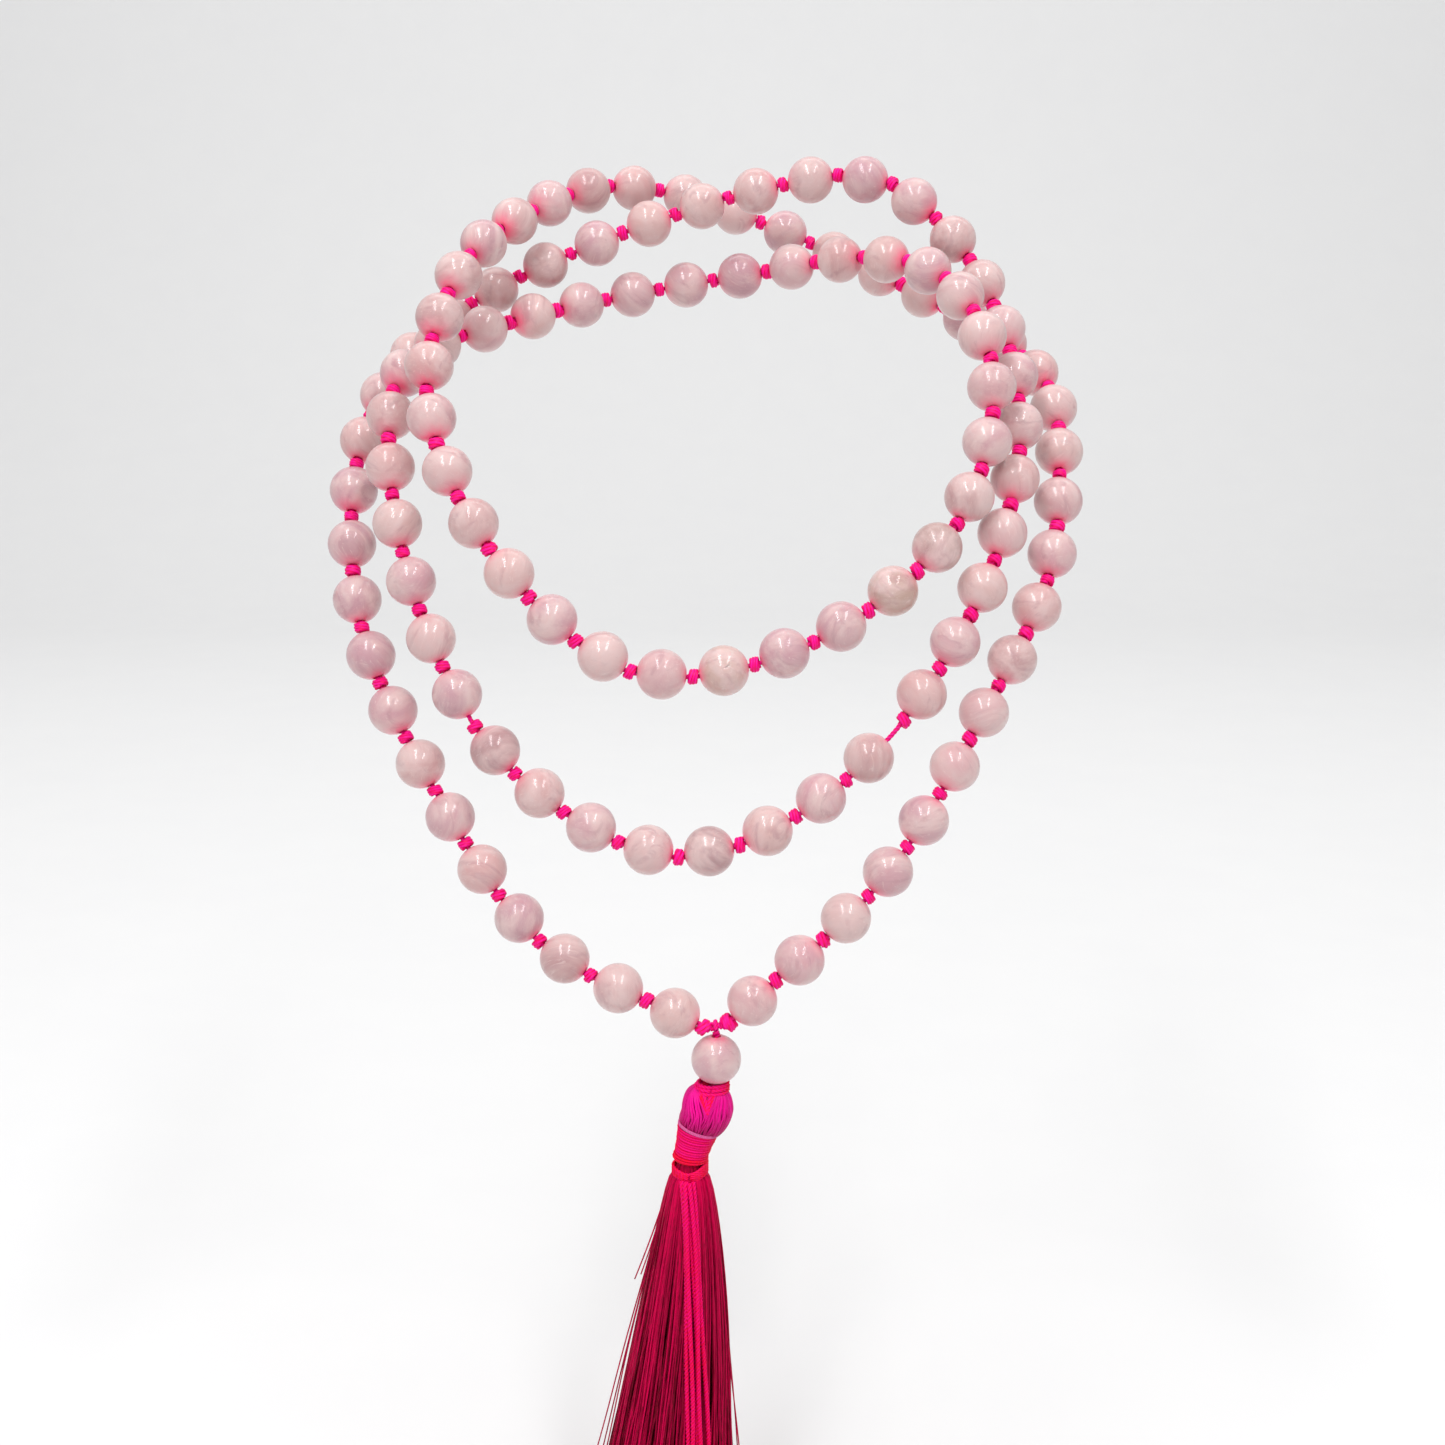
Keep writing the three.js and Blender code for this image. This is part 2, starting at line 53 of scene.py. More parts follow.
camera_data = bpy.data.cameras.new("camera")
camera_data.lens = CAMERA_LENS
camera_data.sensor_width = SENSOR_WIDTH
camera_data.clip_start = CLIP_START
camera_data.clip_end = CLIP_END
camera = bpy.data.objects.new("camera", camera_data)
camera.location = [value * MM for value in CAMERA_PLACE]
camera.rotation_euler = (math.radians(90.0 - CAMERA_TILT), 0.0, 0.0)
bpy.context.scene.collection.objects.link(camera)
bpy.context.scene.camera = camera

# ---------------------------------------------------------------- the strand, as in the CAD part
BEAD_RADIUS = 4.0
BORE_RADIUS = 0.75
CORD_RADIUS = 0.42
STRAND_BEADS = 108
LONG_GAP_KNOT, LONG_GAP = 35, 3.2
SHORT_GAP_KNOT, SHORT_GAP = 43, 1.0
SLACK = {LONG_GAP_KNOT: LONG_GAP, SHORT_GAP_KNOT: SHORT_GAP}
ROUTE = (
    # outer loop, left side, from the junction up
    (-0.5, -63, -122.7), (-26, -57, -111.5), (-44, -49.5, -87.5), (-56.5, -40, -62.5),
    (-59, -25, -37),
    # upper run behind the neck
    (-54, -13, -23), (-42, -3.5, -11), (-25, 0.5, -2.5), (-6, 1.5, 4.5), (13, -1, 9.5),
    (29, -5, 10.5), (41, -10, 1.5), (48, -17.5, -10.5), (51, -28.5, -24), (50, -38.5, -38),
    # middle loop
    (41.5, -50, -59.5), (22, -56, -84.5), (-4.5, -58, -96.5), (-31.5, -53.5, -83),
    (-46, -46.5, -58.5),
    # lower run behind the neck
    (-52, -34, -32), (-50, -21.5, -20), (-36, -9.5, -14.5), (-15, 3, -9.5), (9, 3.5, -5.5),
    (26, -6.5, -3), (37, -17, -5), (43.5, -28.5, -12), (46, -38.5, -25.5),
    # inner loop
    (39, -48.5, -45.5), (16.5, -53.5, -63), (-11.5, -54.5, -67.5), (-34, -51, -48.5),
    (-45, -38, -25),
    # crossing run behind the neck
    (-41, -21, -5), (-33, -6, 3.5), (-18, 11, 10), (-2, 16.5, 8), (13, 17.5, 2.5), (28, 14, -4),
    (41, 5, -10.5), (52.5, -5, -18), (58.5, -17, -25.5),
    # outer loop, right side, down to the junction
    (58.5, -29, -37), (55, -41.5, -55), (44, -51.5, -74.5), (28, -59.5, -99.5), (3.5, -63, -122),
)


def unit(vectors):
    vectors = np.asarray(vectors, float)
    return vectors / np.linalg.norm(vectors, axis=-1, keepdims=True)


def travelled(path):
    """How far along the path each of its points is."""
    return np.r_[0.0, np.cumsum(np.linalg.norm(np.diff(path, axis=0), axis=1))]


def smooth_line(points, per_stretch=120):
    """The centripetal Catmull-Rom line through the points."""
    points = np.asarray(points, float)
    padded = np.vstack([2 * points[0] - points[1], points, 2 * points[-1] - points[-2]])
    share = np.linspace(0.0, 1.0, per_stretch, endpoint=False)[:, None]
    line = []
    for before, start, end, after in zip(padded, padded[1:], padded[2:], padded[3:]):
        first, middle, last = (
            math.sqrt(np.linalg.norm(b - a))
            for a, b in ((before, start), (start, end), (end, after))
        )
        leave = (start - before) / first - (end - before) / (first + middle) + (end - start) / middle
        arrive = (end - start) / middle - (after - start) / (middle + last) + (after - end) / last
        leave, arrive = leave * middle, arrive * middle
        line.append(
            start
            + leave * share
            + (3 * (end - start) - 2 * leave - arrive) * share**2
            + (2 * (start - end) + leave + arrive) * share**3
        )
    return np.vstack(line + [points[-1:]])


def at(path, distances):
    """Points that far along the path."""
    along = travelled(path)
    return np.stack([np.interp(distances, along, path[:, axis]) for axis in range(3)], axis=-1)


def resample(path, spacing):
    length = travelled(path)[-1]
    return at(path, np.linspace(0.0, length, max(int(round(length / spacing)), 2) + 1))


strand_line = smooth_line(ROUTE)
strand_length = travelled(strand_line)[-1]
pitch = (strand_length - sum(SLACK.values())) / STRAND_BEADS
gaps = np.array([SLACK.get(index, 0.0) for index in range(STRAND_BEADS)])
start_at = np.cumsum(gaps) + pitch * np.arange(STRAND_BEADS)
bead_starts = at(strand_line, start_at)
bead_ends = at(strand_line, np.minimum(start_at + pitch, strand_length))
knots = np.vstack([strand_line[:1], bead_ends])
bead_centres = (bead_starts + bead_ends) / 2
bead_axes = unit(bead_ends - bead_starts)


def knot_axis(index):
    return unit(bead_axes[max(index - 1, 0)] + bead_axes[min(index, STRAND_BEADS - 1)])


# Each stretch of the strand: name, body, CAD nodes it stands for, first bead, beads
STRETCHES = (
    ("outer_left", "outer_loop", "outer_loop_cord", 0, 10),
    ("neck_upper", "neck_strand", "neck_run_upper", 10, 23),
    ("middle", "middle_loop", "middle_loop_cord", 33, 12),
    ("neck_lower", "neck_strand", "neck_run_lower", 45, 19),
    ("inner", "inner_loop", "inner_loop_cord", 64, 14),
    ("neck_crossing", "neck_strand", "neck_run_crossing", 78, 20),
    ("outer_right", "outer_loop", "outer_loop_cord", 98, 10),
)

# ---------------------------------------------------------------- guru bead and tassel, as in the CAD
FRONT = -63.0
GURU_DROP = 6.0
LOWER_KNOT_DROP = 4.85
HEAD_LEAN, HEAD_DROP = 1.5, 4.2
WRAP_TOP_LEAN, WRAP_TOP_DROP = 1.1, 2.9
WRAP_SHIFT, WRAP_LENGTH = 1.8, 4.8
junction = (knots[0] + knots[-1]) / 2
guru_centre = junction + (0, 0, -GURU_DROP)
lower_knot = guru_centre + (0, 0, -LOWER_KNOT_DROP)
head_centre = lower_knot + (-HEAD_LEAN, 0, -HEAD_DROP)
wrap_top = head_centre + (-WRAP_TOP_LEAN, 0, -WRAP_TOP_DROP)
skirt_pivot = wrap_top + (-WRAP_SHIFT, 0, -WRAP_LENGTH)
COLLAR_DROP = 2.3
SKIRT_LENGTH = 65.0
SKIRT_NECK_LENGTH = 3.1


# ---------------------------------------------------------------- mesh tools
class Shape:
    """Points, faces and point attributes of one mesh, gathered part by part."""

    def __init__(self):
        self.points = []
        self.quads = []
        self.triangles = []
        self.values = {}
        self.count = 0

    def add(self, points, quads, triangles=(), **values):
        self.points.append(np.asarray(points, float))
        self.quads.append(np.asarray(quads, int).reshape(-1, 4) + self.count)
        self.triangles.append(np.asarray(triangles, int).reshape(-1, 3) + self.count)
        for name, value in values.items():
            self.values.setdefault(name, []).append(np.asarray(value, float))
        self.count += len(points)

    def build(self, name, material):
        points = np.vstack(self.points) * MM
        quads = np.vstack(self.quads)
        triangles = np.vstack(self.triangles)
        mesh = bpy.data.meshes.new(name)
        mesh.vertices.add(len(points))
        mesh.vertices.foreach_set("co", points.astype(np.float32).ravel())
        mesh.loops.add(quads.size + triangles.size)
        mesh.loops.foreach_set("vertex_index", np.r_[quads.ravel(), triangles.ravel()].astype(np.int32))
        mesh.polygons.add(len(quads) + len(triangles))
        starts = np.r_[np.arange(len(quads)) * 4, quads.size + np.arange(len(triangles)) * 3]
        mesh.polygons.foreach_set("loop_start", starts.astype(np.int32))
        mesh.update(calc_edges=True)
        mesh.validate()
        mesh.shade_smooth()
        for key, parts in self.values.items():
            value = np.concatenate(parts).astype(np.float32)
            kind, field = ("FLOAT", "value") if value.ndim == 1 else ("FLOAT_VECTOR", "vector")
            mesh.attributes.new(key, kind, "POINT").data.foreach_set(field, value.ravel())
        mesh.materials.append(material)
        piece = bpy.data.objects.new(name, mesh)
        bpy.context.scene.collection.objects.link(piece)
        return piece


SIDE_HINT = np.array([0.31, 0.22, 0.93])


def transported(path, closed=False):
    """Directions along the path, and two across it that don't twist about it."""
    path = np.asarray(path, float)
    if closed:
        along = unit(np.roll(path, -1, axis=0) - np.roll(path, 1, axis=0))
    else:
        along = unit(np.gradient(path, axis=0))
    side = np.empty_like(path)
    side[0] = unit(SIDE_HINT - along[0] * np.dot(SIDE_HINT, along[0]))
    for step in range(1, len(path)):
        side[step] = unit(side[step - 1] - along[step] * np.dot(side[step - 1], along[step]))
    return along, side, np.cross(along, side)


PLIES = 3
PLY_CREASE = 0.66
PLY_FULLNESS = 2.2


def ply_profile(plies=PLIES, per_ply=5):
    """Angles and shares of the radius round a cord of twisted plies."""
    share = np.arange(per_ply) / per_ply - 0.5
    inside = share * 2 * math.pi / plies
    lobe = 1.0 - (1.0 - PLY_CREASE) * np.abs(share * 2) ** PLY_FULLNESS
    angles = np.concatenate([inside + ply * 2 * math.pi / plies for ply in range(plies)])
    return angles, np.tile(lobe, plies)


def full_turn(steps):
    """The angles of that many even steps round a circle."""
    return np.arange(steps) * 2 * math.pi / steps


def round_profile(sides):
    return full_turn(sides), np.ones(sides)


def ring_quads(rings, sides, closed=False):
    """Faces from each ring of points to the next, and from the last to the first where they close."""
    ring = np.arange(rings if closed else rings - 1)[:, None] * sides
    here = np.arange(sides)[None, :]
    following = (here + 1) % sides
    ahead = (ring + sides) % (rings * sides)
    corners = [ring + here, ring + following, ahead + following, ahead + here]
    return np.stack(corners, axis=-1).reshape(-1, 4)


def end_fans(rings, sides):
    """Faces from the first and last ring to the two points that follow all the rings."""
    first, last = rings * sides, rings * sides + 1
    triangles = []
    for step in range(sides):
        following = (step + 1) % sides
        triangles.append((first, following, step))
        triangles.append((last, (rings - 1) * sides + step, (rings - 1) * sides + following))
    return triangles


END_DOME = 0.4
FIBRE_SHIFTS = 977


def tube(shape, path, radius, profile, lay=None, closed=False, **values):
    """Adds a skin round the path. lay is the length of one turn of the plies, in millimetres."""
    path = np.asarray(path, float)
    angles, shares = profile
    sides = len(angles)
    along, side, across = transported(path, closed)
    whole = np.vstack([path, path[:1]]) if closed else path
    distance = travelled(whole)
    length, distance = distance[-1], distance[: len(path)]
    turn = np.zeros(len(path))
    if closed:
        last = unit(side[-1] - along[0] * np.dot(side[-1], along[0]))
        miss = math.atan2(np.dot(np.cross(last, side[0]), along[0]), np.dot(last, side[0]))
        turn += miss * distance / length
    if lay:
        turns = length / lay
        if closed:
            turns = round(turns * PLIES) / PLIES
        turn = turn + 2 * math.pi * turns * distance / length
    angle = angles[None, :] + turn[:, None]
    reach = np.broadcast_to(np.asarray(radius, float), (len(path),))[:, None] * shares[None, :]
    points = (
        path[:, None, :]
        + (reach * np.cos(angle))[:, :, None] * side[:, None, :]
        + (reach * np.sin(angle))[:, :, None] * across[:, None, :]
    ).reshape(-1, 3)
    rings = len(path)
    own_shift = np.full(rings * sides, float(shape.count % FIBRE_SHIFTS))
    fibre = np.stack([np.tile(angles, rings), np.repeat(distance, sides), own_shift], axis=-1)
    triangles = []
    if not closed:
        low_end = path[0] - along[0] * reach[0].mean() * END_DOME
        high_end = path[-1] + along[-1] * reach[-1].mean() * END_DOME
        points = np.vstack([points, low_end, high_end])
        fibre = np.vstack([fibre, fibre[0], fibre[-1]])
        triangles = end_fans(rings, sides)
    shape.add(points, ring_quads(rings, sides, closed), triangles, fibre=fibre, **values)


CORD_PROFILE = ply_profile()
CORD_LAY = 2.1
# How much lighter the colour is painted on the plies' ridges and darker in their grooves: painted light and
# shade.
RIDGE_PAINTED_LIGHT = 2.6


def per_point(value, path, profile=CORD_PROFILE, closed=False):
    """A value for each ring of a tube as one for each of its points, higher on the plies' ridges as painted
    light and lower in the grooves between them as painted shade.
    """
    value = np.broadcast_to(np.asarray(value, float), (len(path),))
    ridge = RIDGE_PAINTED_LIGHT * (profile[1] - profile[1].mean())
    spread = np.clip(value[:, None] + ridge[None, :], 0, 1).ravel()
    return spread if closed else np.r_[spread, value[0], value[-1]]


def plied(shape, path, radius, lay, shade, closed=False):
    """Adds a cord of twisted plies along the path, with one shade or one for each of its points."""
    tube(shape, path, radius, CORD_PROFILE, lay, closed, shade=per_point(shade, path, closed=closed))


def smooth_thread(shape, path, radius, shade, sides):
    """Adds a round thread along the path."""
    profile = round_profile(sides)
    tube(shape, path, radius, profile, shade=per_point(shade, path, profile))


# ---------------------------------------------------------------- material tools
def colour(red, green, blue):
    """A screen colour from 0 to 255 as a linear colour."""
    linear = [
        value / 12.92 if value <= 0.04045 else ((value + 0.055) / 1.055) ** 2.4
        for value in (red / 255, green / 255, blue / 255)
    ]
    return (*linear, 1.0)


def shader(name, **sockets):
    material = bpy.data.materials.new(name)
    material.use_nodes = True
    principled = material.node_tree.nodes["Principled BSDF"]
    for socket, value in sockets.items():
        principled.inputs[socket.replace("_", " ")].default_value = value
    return material, material.node_tree, principled


def node(tree, kind, inputs=None, **settings):
    made = tree.nodes.new(kind)
    for key, value in settings.items():
        setattr(made, key, value)
    for socket, value in (inputs or {}).items():
        if isinstance(value, bpy.types.NodeSocket):
            tree.links.new(value, made.inputs[socket])
        else:
            made.inputs[socket].default_value = value
    return made


def mixed(tree, factor, first, second):
    """A colour between first and second. The numbers are the mix node's colour sockets."""
    return node(tree, "ShaderNodeMix", {0: factor, 6: first, 7: second}, data_type="RGBA").outputs[2]


def added(tree, first, second, clamped=False):
    sockets = {0: first, 1: second}
    return node(tree, "ShaderNodeMath", sockets, operation="ADD", use_clamp=clamped).outputs[0]


def ranged(tree, value, low, high, to_low=0.0, to_high=1.0):
    return node(
        tree,
        "ShaderNodeMapRange",
        {"Value": value, "From Min": low, "From Max": high, "To Min": to_low, "To Max": to_high},
        interpolation_type="SMOOTHSTEP",
    ).outputs["Result"]


def attribute(tree, name, output="Vector"):
    return node(tree, "ShaderNodeAttribute", attribute_name=name).outputs[output]


def stretched(tree, vector, scale, offset=(0.0, 0.0, 0.0)):
    return node(
        tree, "ShaderNodeMapping", {"Vector": vector, "Scale": scale, "Location": offset}
    ).outputs["Vector"]


def noise(tree, vector, scale, detail=3.0, roughness=0.5, distortion=0.0):
    sockets = {"Vector": vector, "Scale": scale, "Detail": detail}
    sockets |= {"Roughness": roughness, "Distortion": distortion}
    return node(tree, "ShaderNodeTexNoise", sockets).outputs["Fac"]


def bumped(tree, principled, height, strength, distance):
    bump = node(tree, "ShaderNodeBump", {"Height": height, "Strength": strength, "Distance": distance})
    tree.links.new(bump.outputs["Normal"], principled.inputs["Normal"])


CLOUD = colour(212, 186, 184)
MAUVE = colour(168, 126, 134)
FEATHER = colour(226, 206, 202)
HAIR_VEIN = colour(162, 114, 120)
BORE_PINK = colour(255, 92, 138)


def rose_quartz():
    """Milky pink stone: clouds and feathery veins through it, tinted where the cord shows at its bore."""
    material, tree, principled = shader(
        "rose_quartz_stone",
        Roughness=0.34,
        IOR=1.54,
        Coat_Weight=0.5,
        Coat_Roughness=0.06,
        Coat_IOR=1.5,
        Subsurface_Weight=0.6,
        Subsurface_Radius=(1.0, 0.62, 0.6),
        Subsurface_Scale=0.0016,
        Specular_IOR_Level=0.25,
    )
    grain = attribute(tree, "grain")
    tint = attribute(tree, "tint")
    clouds = noise(tree, grain, 0.22, 4.0, 0.55, 0.6)
    base = mixed(tree, ranged(tree, clouds, 0.3, 0.72), tint, CLOUD)
    mauve = noise(tree, stretched(tree, grain, (1.0, 1.0, 0.6), (7.0, 3.0, 1.0)), 0.34, 3.0, 0.6, 1.2)
    base = mixed(tree, ranged(tree, mauve, 0.5, 0.74, 0.0, 0.42), base, MAUVE)
    feather = noise(tree, stretched(tree, grain, (2.2, 0.5, 0.9), (1.0, 9.0, 4.0)), 0.9, 8.0, 0.72, 2.4)
    base = mixed(tree, ranged(tree, feather, 0.55, 0.67, 0.0, 0.42), base, FEATHER)
    hair = noise(tree, stretched(tree, grain, (0.6, 2.6, 1.4), (5.0, 2.0, 8.0)), 1.5, 6.0, 0.8, 3.0)
    base = mixed(tree, ranged(tree, hair, 0.58, 0.69, 0.0, 0.38), base, HAIR_VEIN)
    glow = attribute(tree, "glow", "Fac")
    uneven = noise(tree, grain, 0.8, 2.0)
    spread = ranged(tree, uneven, 0.3, 0.7, 0.72, 1.15)
    seep = node(tree, "ShaderNodeMath", {0: glow, 1: spread}, operation="MULTIPLY")
    base = mixed(tree, seep.outputs[0], base, BORE_PINK)
    tree.links.new(base, principled.inputs["Base Color"])
    bumped(tree, principled, noise(tree, grain, 3.2, 4.0, 0.6), 0.05, 0.00005)
    rough = ranged(tree, noise(tree, grain, 0.7, 3.0), 0.3, 0.7, 0.28, 0.42)
    tree.links.new(rough, principled.inputs["Roughness"])
    return material


def thread(name, dark, light, roughness, sheen, specular, filament=7.0, bump_strength=0.5):
    """Spun thread or cord: fine filaments along it, with a colour that varies from ply to ply. The shade
    attribute moves it between the dark and the light colour; the pieces use that for tone and also for
    painted light and shade.
    """
    material, tree, principled = shader(
        name,
        Roughness=roughness,
        Sheen_Weight=sheen,
        Sheen_Roughness=0.4,
        Sheen_Tint=(*light[:3], 1.0),
        Specular_IOR_Level=specular,
    )
    fibre = attribute(tree, "fibre")
    shade = attribute(tree, "shade", "Fac")
    streaks = noise(tree, stretched(tree, fibre, (filament, 0.9, 3.1)), 1.0, 3.0, 0.6, 0.3)
    patches = noise(tree, stretched(tree, fibre, (0.8, 0.5, 1.7), (3.0, 1.0, 0.0)), 1.0, 2.0)
    level = added(tree, ranged(tree, streaks, 0.28, 0.72, -0.32, 0.32), shade)
    level = added(tree, level, ranged(tree, patches, 0.3, 0.7, -0.12, 0.12), clamped=True)
    tree.links.new(mixed(tree, level, dark, light), principled.inputs["Base Color"])
    bumped(tree, principled, streaks, bump_strength, 0.00008)
    rough = ranged(tree, streaks, 0.3, 0.7, roughness - 0.08, roughness + 0.1)
    tree.links.new(rough, principled.inputs["Roughness"])
    return material


STONE = rose_quartz()
CORD = thread("hot_pink_cord", colour(236, 0, 84), colour(255, 12, 158), 0.42, 0.05, 0.22)
HEAD = thread("head_thread", colour(158, 0, 76), colour(246, 2, 152), 0.4, 0.05, 0.18, 5.0)
WRAP = thread("wrap_thread", colour(240, 0, 30), colour(255, 4, 138), 0.48, 0.05, 0.14)
TAIL = thread("tail_cord", colour(236, 0, 52), colour(255, 2, 128), 0.45, 0.0, 0.1)
PALE = thread("pale_neck_thread", colour(190, 20, 104), colour(240, 112, 180), 0.4, 0.2, 0.3)
SKIRT = thread("skirt_thread", colour(76, 0, 10), colour(216, 0, 78), 0.42, 0.0, 0.07, 4.0, 0.3)


# ---------------------------------------------------------------- cords
def ride_as(piece, body, slot, *nodes):
    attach(piece, body)
    if nodes:
        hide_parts(*nodes)
    return piece


def cord_line(first, count):
    """The line of the cord through a stretch's bores, from its first knot to its last."""
    stops = [knots[first]]
    for bead in range(first, first + count):
        if bead in SLACK:
            stops.append(bead_starts[bead])
        stops += [bead_centres[bead], knots[bead + 1]]
    return smooth_line(stops, 12)


CORD_STEPS_PER_LAY = 7


def cord_piece(name, line, body, node_name, material=CORD, painted_falloff=0.0):
    """A cord along a line, made of twisted plies, with painted shade that darkens it towards its far end by
    the falloff.
    """
    path = resample(line, CORD_LAY / CORD_STEPS_PER_LAY)
    shape = Shape()
    distance = travelled(path)
    shade = 0.55 + 0.1 * np.sin(distance * 0.37) - painted_falloff * distance / distance[-1]
    plied(shape, path, CORD_RADIUS, CORD_LAY, shade)
    piece = ride_as(shape.build(name, material), body, "cord", node_name)
    return piece


# ---------------------------------------------------------------- knots
KNOT_WRAP_RADIUS = 0.9
KNOT_WRAP_REACH = 0.56
KNOT_LAY = 5.5
KNOT_TURN_STEPS = 36
KNOT_STEP = 0.2
# The cord's way in, as distance along the strand and share of the tuck. Its way out is the mirror of it.
KNOT_WAY_IN = ((-1.05, 0.0), (-0.6, 0.05), (0.2, 0.25))
LENGTHENED_FROM = 1.1
THICKEST_KNOT_CORD = 1.15
ACROSS_HINT = (0.21, 0.13, 0.97)


def turned_to(axis):
    """Rows that turn a shape made about the first axis so that it lies along this one."""
    side = unit(np.cross(axis, ACROSS_HINT))
    return np.stack([axis, side, np.cross(axis, side)])


def tied_knot(shape, place, axis, size=1.0):
    """A tight overhand knot: in through the middle, round the cord in close turns, and out again."""
    turns = RANDOM.uniform(2.6, 2.9)
    start = RANDOM.uniform(0.0, 2 * math.pi)
    slant = RANDOM.uniform(0.04, 0.1)
    wrap = np.linspace(0.0, 1.0, KNOT_TURN_STEPS)[:, None]
    angle = start + 2 * math.pi * turns * wrap
    reach = KNOT_WRAP_RADIUS * (1 - 0.09 * (2 * wrap - 1) ** 2 - 0.03 * np.cos(2 * angle))
    rounds = np.hstack(
        [
            KNOT_WRAP_REACH * (1 - 2 * wrap) + slant * np.sin(angle),
            reach * np.cos(angle),
            reach * np.sin(angle),
        ]
    )
    tuck = np.array([0.0, math.cos(start), math.sin(start)])
    tuck_back = np.array([0.0, math.cos(angle[-1, 0]), math.sin(angle[-1, 0])])
    way_in = [(along, 0, 0) + tuck * out for along, out in KNOT_WAY_IN]
    way_out = [(-along, 0, 0) + tuck_back * out for along, out in reversed(KNOT_WAY_IN)]
    stops = np.vstack([way_in, rounds, way_out])
    widths = np.array([1.0, size, size]) if size <= LENGTHENED_FROM else np.full(3, size)
    path = resample(smooth_line(stops * widths @ turned_to(axis) + place, 8), KNOT_STEP)
    shade = 0.5 + 0.15 * np.sin(travelled(path) * 1.9 + start)
    plied(shape, path, CORD_RADIUS * min(size, THICKEST_KNOT_CORD), KNOT_LAY, shade)


def knots_piece(name, indices, body, node_name):
    shape = Shape()
    for index in indices:
        tied_knot(shape, knots[index], knot_axis(index), RANDOM.uniform(0.93, 1.06))
    return ride_as(shape.build(name, CORD), body, "cord", node_name)


for stretch, body, node_name, first, count in STRETCHES:
    own_ends = body == "neck_strand"
    inside = range(first if own_ends else first + 1, first + count + (1 if own_ends else 0))
    tied = knots_piece(f"{stretch}_knots", inside, body, node_name)
    cord_piece(f"{stretch}_cord_line", cord_line(first, count), body, node_name)

# ---------------------------------------------------------------- beads
MOUTH_ROUNDING = 0.13
TINTS = (
    (214, 176, 182), (206, 166, 176), (216, 184, 184), (203, 162, 174), (212, 172, 174),
    (218, 188, 190), (205, 170, 172), (210, 168, 178),
)
GREYED = {
    66: (190, 162, 160), 67: (196, 168, 158), 70: (204, 174, 166), 38: (190, 158, 162),
    42: (188, 152, 156),
}
GURU_TINT = (208, 170, 180)
STONE_DEPTH = np.array([0.87, 0.84, 0.81])
PITTED_BEAD = 70
PIT_HEADING = unit((0.12, -0.95, 0.33))
PIT_SLANT = (0.45, 0.1, -0.8)
PIT_HALF_LENGTH = 0.5
PIT_HALF_WIDTH = 0.15
PIT_BEND = 0.35
PIT_FALL = 1.4
PIT_LIMIT = 1.5
PIT_DEPTH = 0.26
PIT_PAINTED_SHADE = 0.7
GLOW_AT_LOW_END, GLOW_AT_HIGH_END = (0.6, 1.1), (0.35, 0.8)
GLOW_SPREAD = (0.4, 0.62)
GLOW_IN_BORE = 0.95


def bead_skin(sides, bands):
    """A drilled ball about the first axis: over the outside, round the mouth, and back through the bore."""
    mouth = math.asin((BORE_RADIUS + MOUTH_ROUNDING) / BEAD_RADIUS)
    sweep = np.linspace(mouth, math.pi - mouth, bands)
    outside = np.stack([-BEAD_RADIUS * np.cos(sweep), BEAD_RADIUS * np.sin(sweep)], axis=-1)
    edge = outside[-1, 0]
    lip = np.array([(edge - 0.015, BORE_RADIUS + 0.05), (edge - 0.09, BORE_RADIUS)])
    bore = np.array([(x, BORE_RADIUS) for x in np.linspace(edge - 0.6, 0.6 - edge, 7)])
    profile = np.vstack([outside, lip, bore, lip[::-1] * (-1, 1)])
    angle = full_turn(sides)
    points = np.stack(
        [
            np.repeat(profile[:, 0], sides),
            np.outer(profile[:, 1], np.cos(angle)).ravel(),
            np.outer(profile[:, 1], np.sin(angle)).ravel(),
        ],
        axis=-1,
    )
    inside_out = ring_quads(len(profile), sides, closed=True)
    return points, inside_out[:, [0, 3, 2, 1]]


BEAD_SKIN = bead_skin(40, 26)
FINE_BEAD_SKIN = bead_skin(200, 130)


def bead_glow(points, low_end):
    """How much of the cord's pink shows in the stone near each mouth of the bore, most at the lower one."""
    reach = np.linalg.norm(points, axis=1)
    cosine = np.clip(points[:, 0] / np.maximum(reach, 1e-6), -1, 1)
    glow = np.zeros(len(points))
    strengths = [RANDOM.uniform(*GLOW_AT_LOW_END), RANDOM.uniform(*GLOW_AT_HIGH_END)]
    for end, strength in zip((low_end, -low_end), strengths):
        away = np.arccos(np.clip(cosine * end, -1, 1))
        glow += strength * np.exp(-((away / RANDOM.uniform(*GLOW_SPREAD)) ** 2))
    bored = np.hypot(points[:, 1], points[:, 2]) < BORE_RADIUS + 0.02
    return np.clip(np.where(bored, GLOW_IN_BORE, glow), 0, 1)


def pit_depth(points, centre, heading):
    """How far into a small natural hollow each point lies, from 0 to 1. It is longer than it is wide."""
    along = unit(np.cross(heading, PIT_SLANT))
    across = np.cross(heading, along)
    offset = points - (centre + heading * BEAD_RADIUS)
    bend = (offset @ along / PIT_HALF_LENGTH) ** 2
    far = bend + (offset @ across / PIT_HALF_WIDTH - PIT_BEND * bend) ** 2
    return np.exp(-far * PIT_FALL) * (np.linalg.norm(offset, axis=1) < PIT_LIMIT)


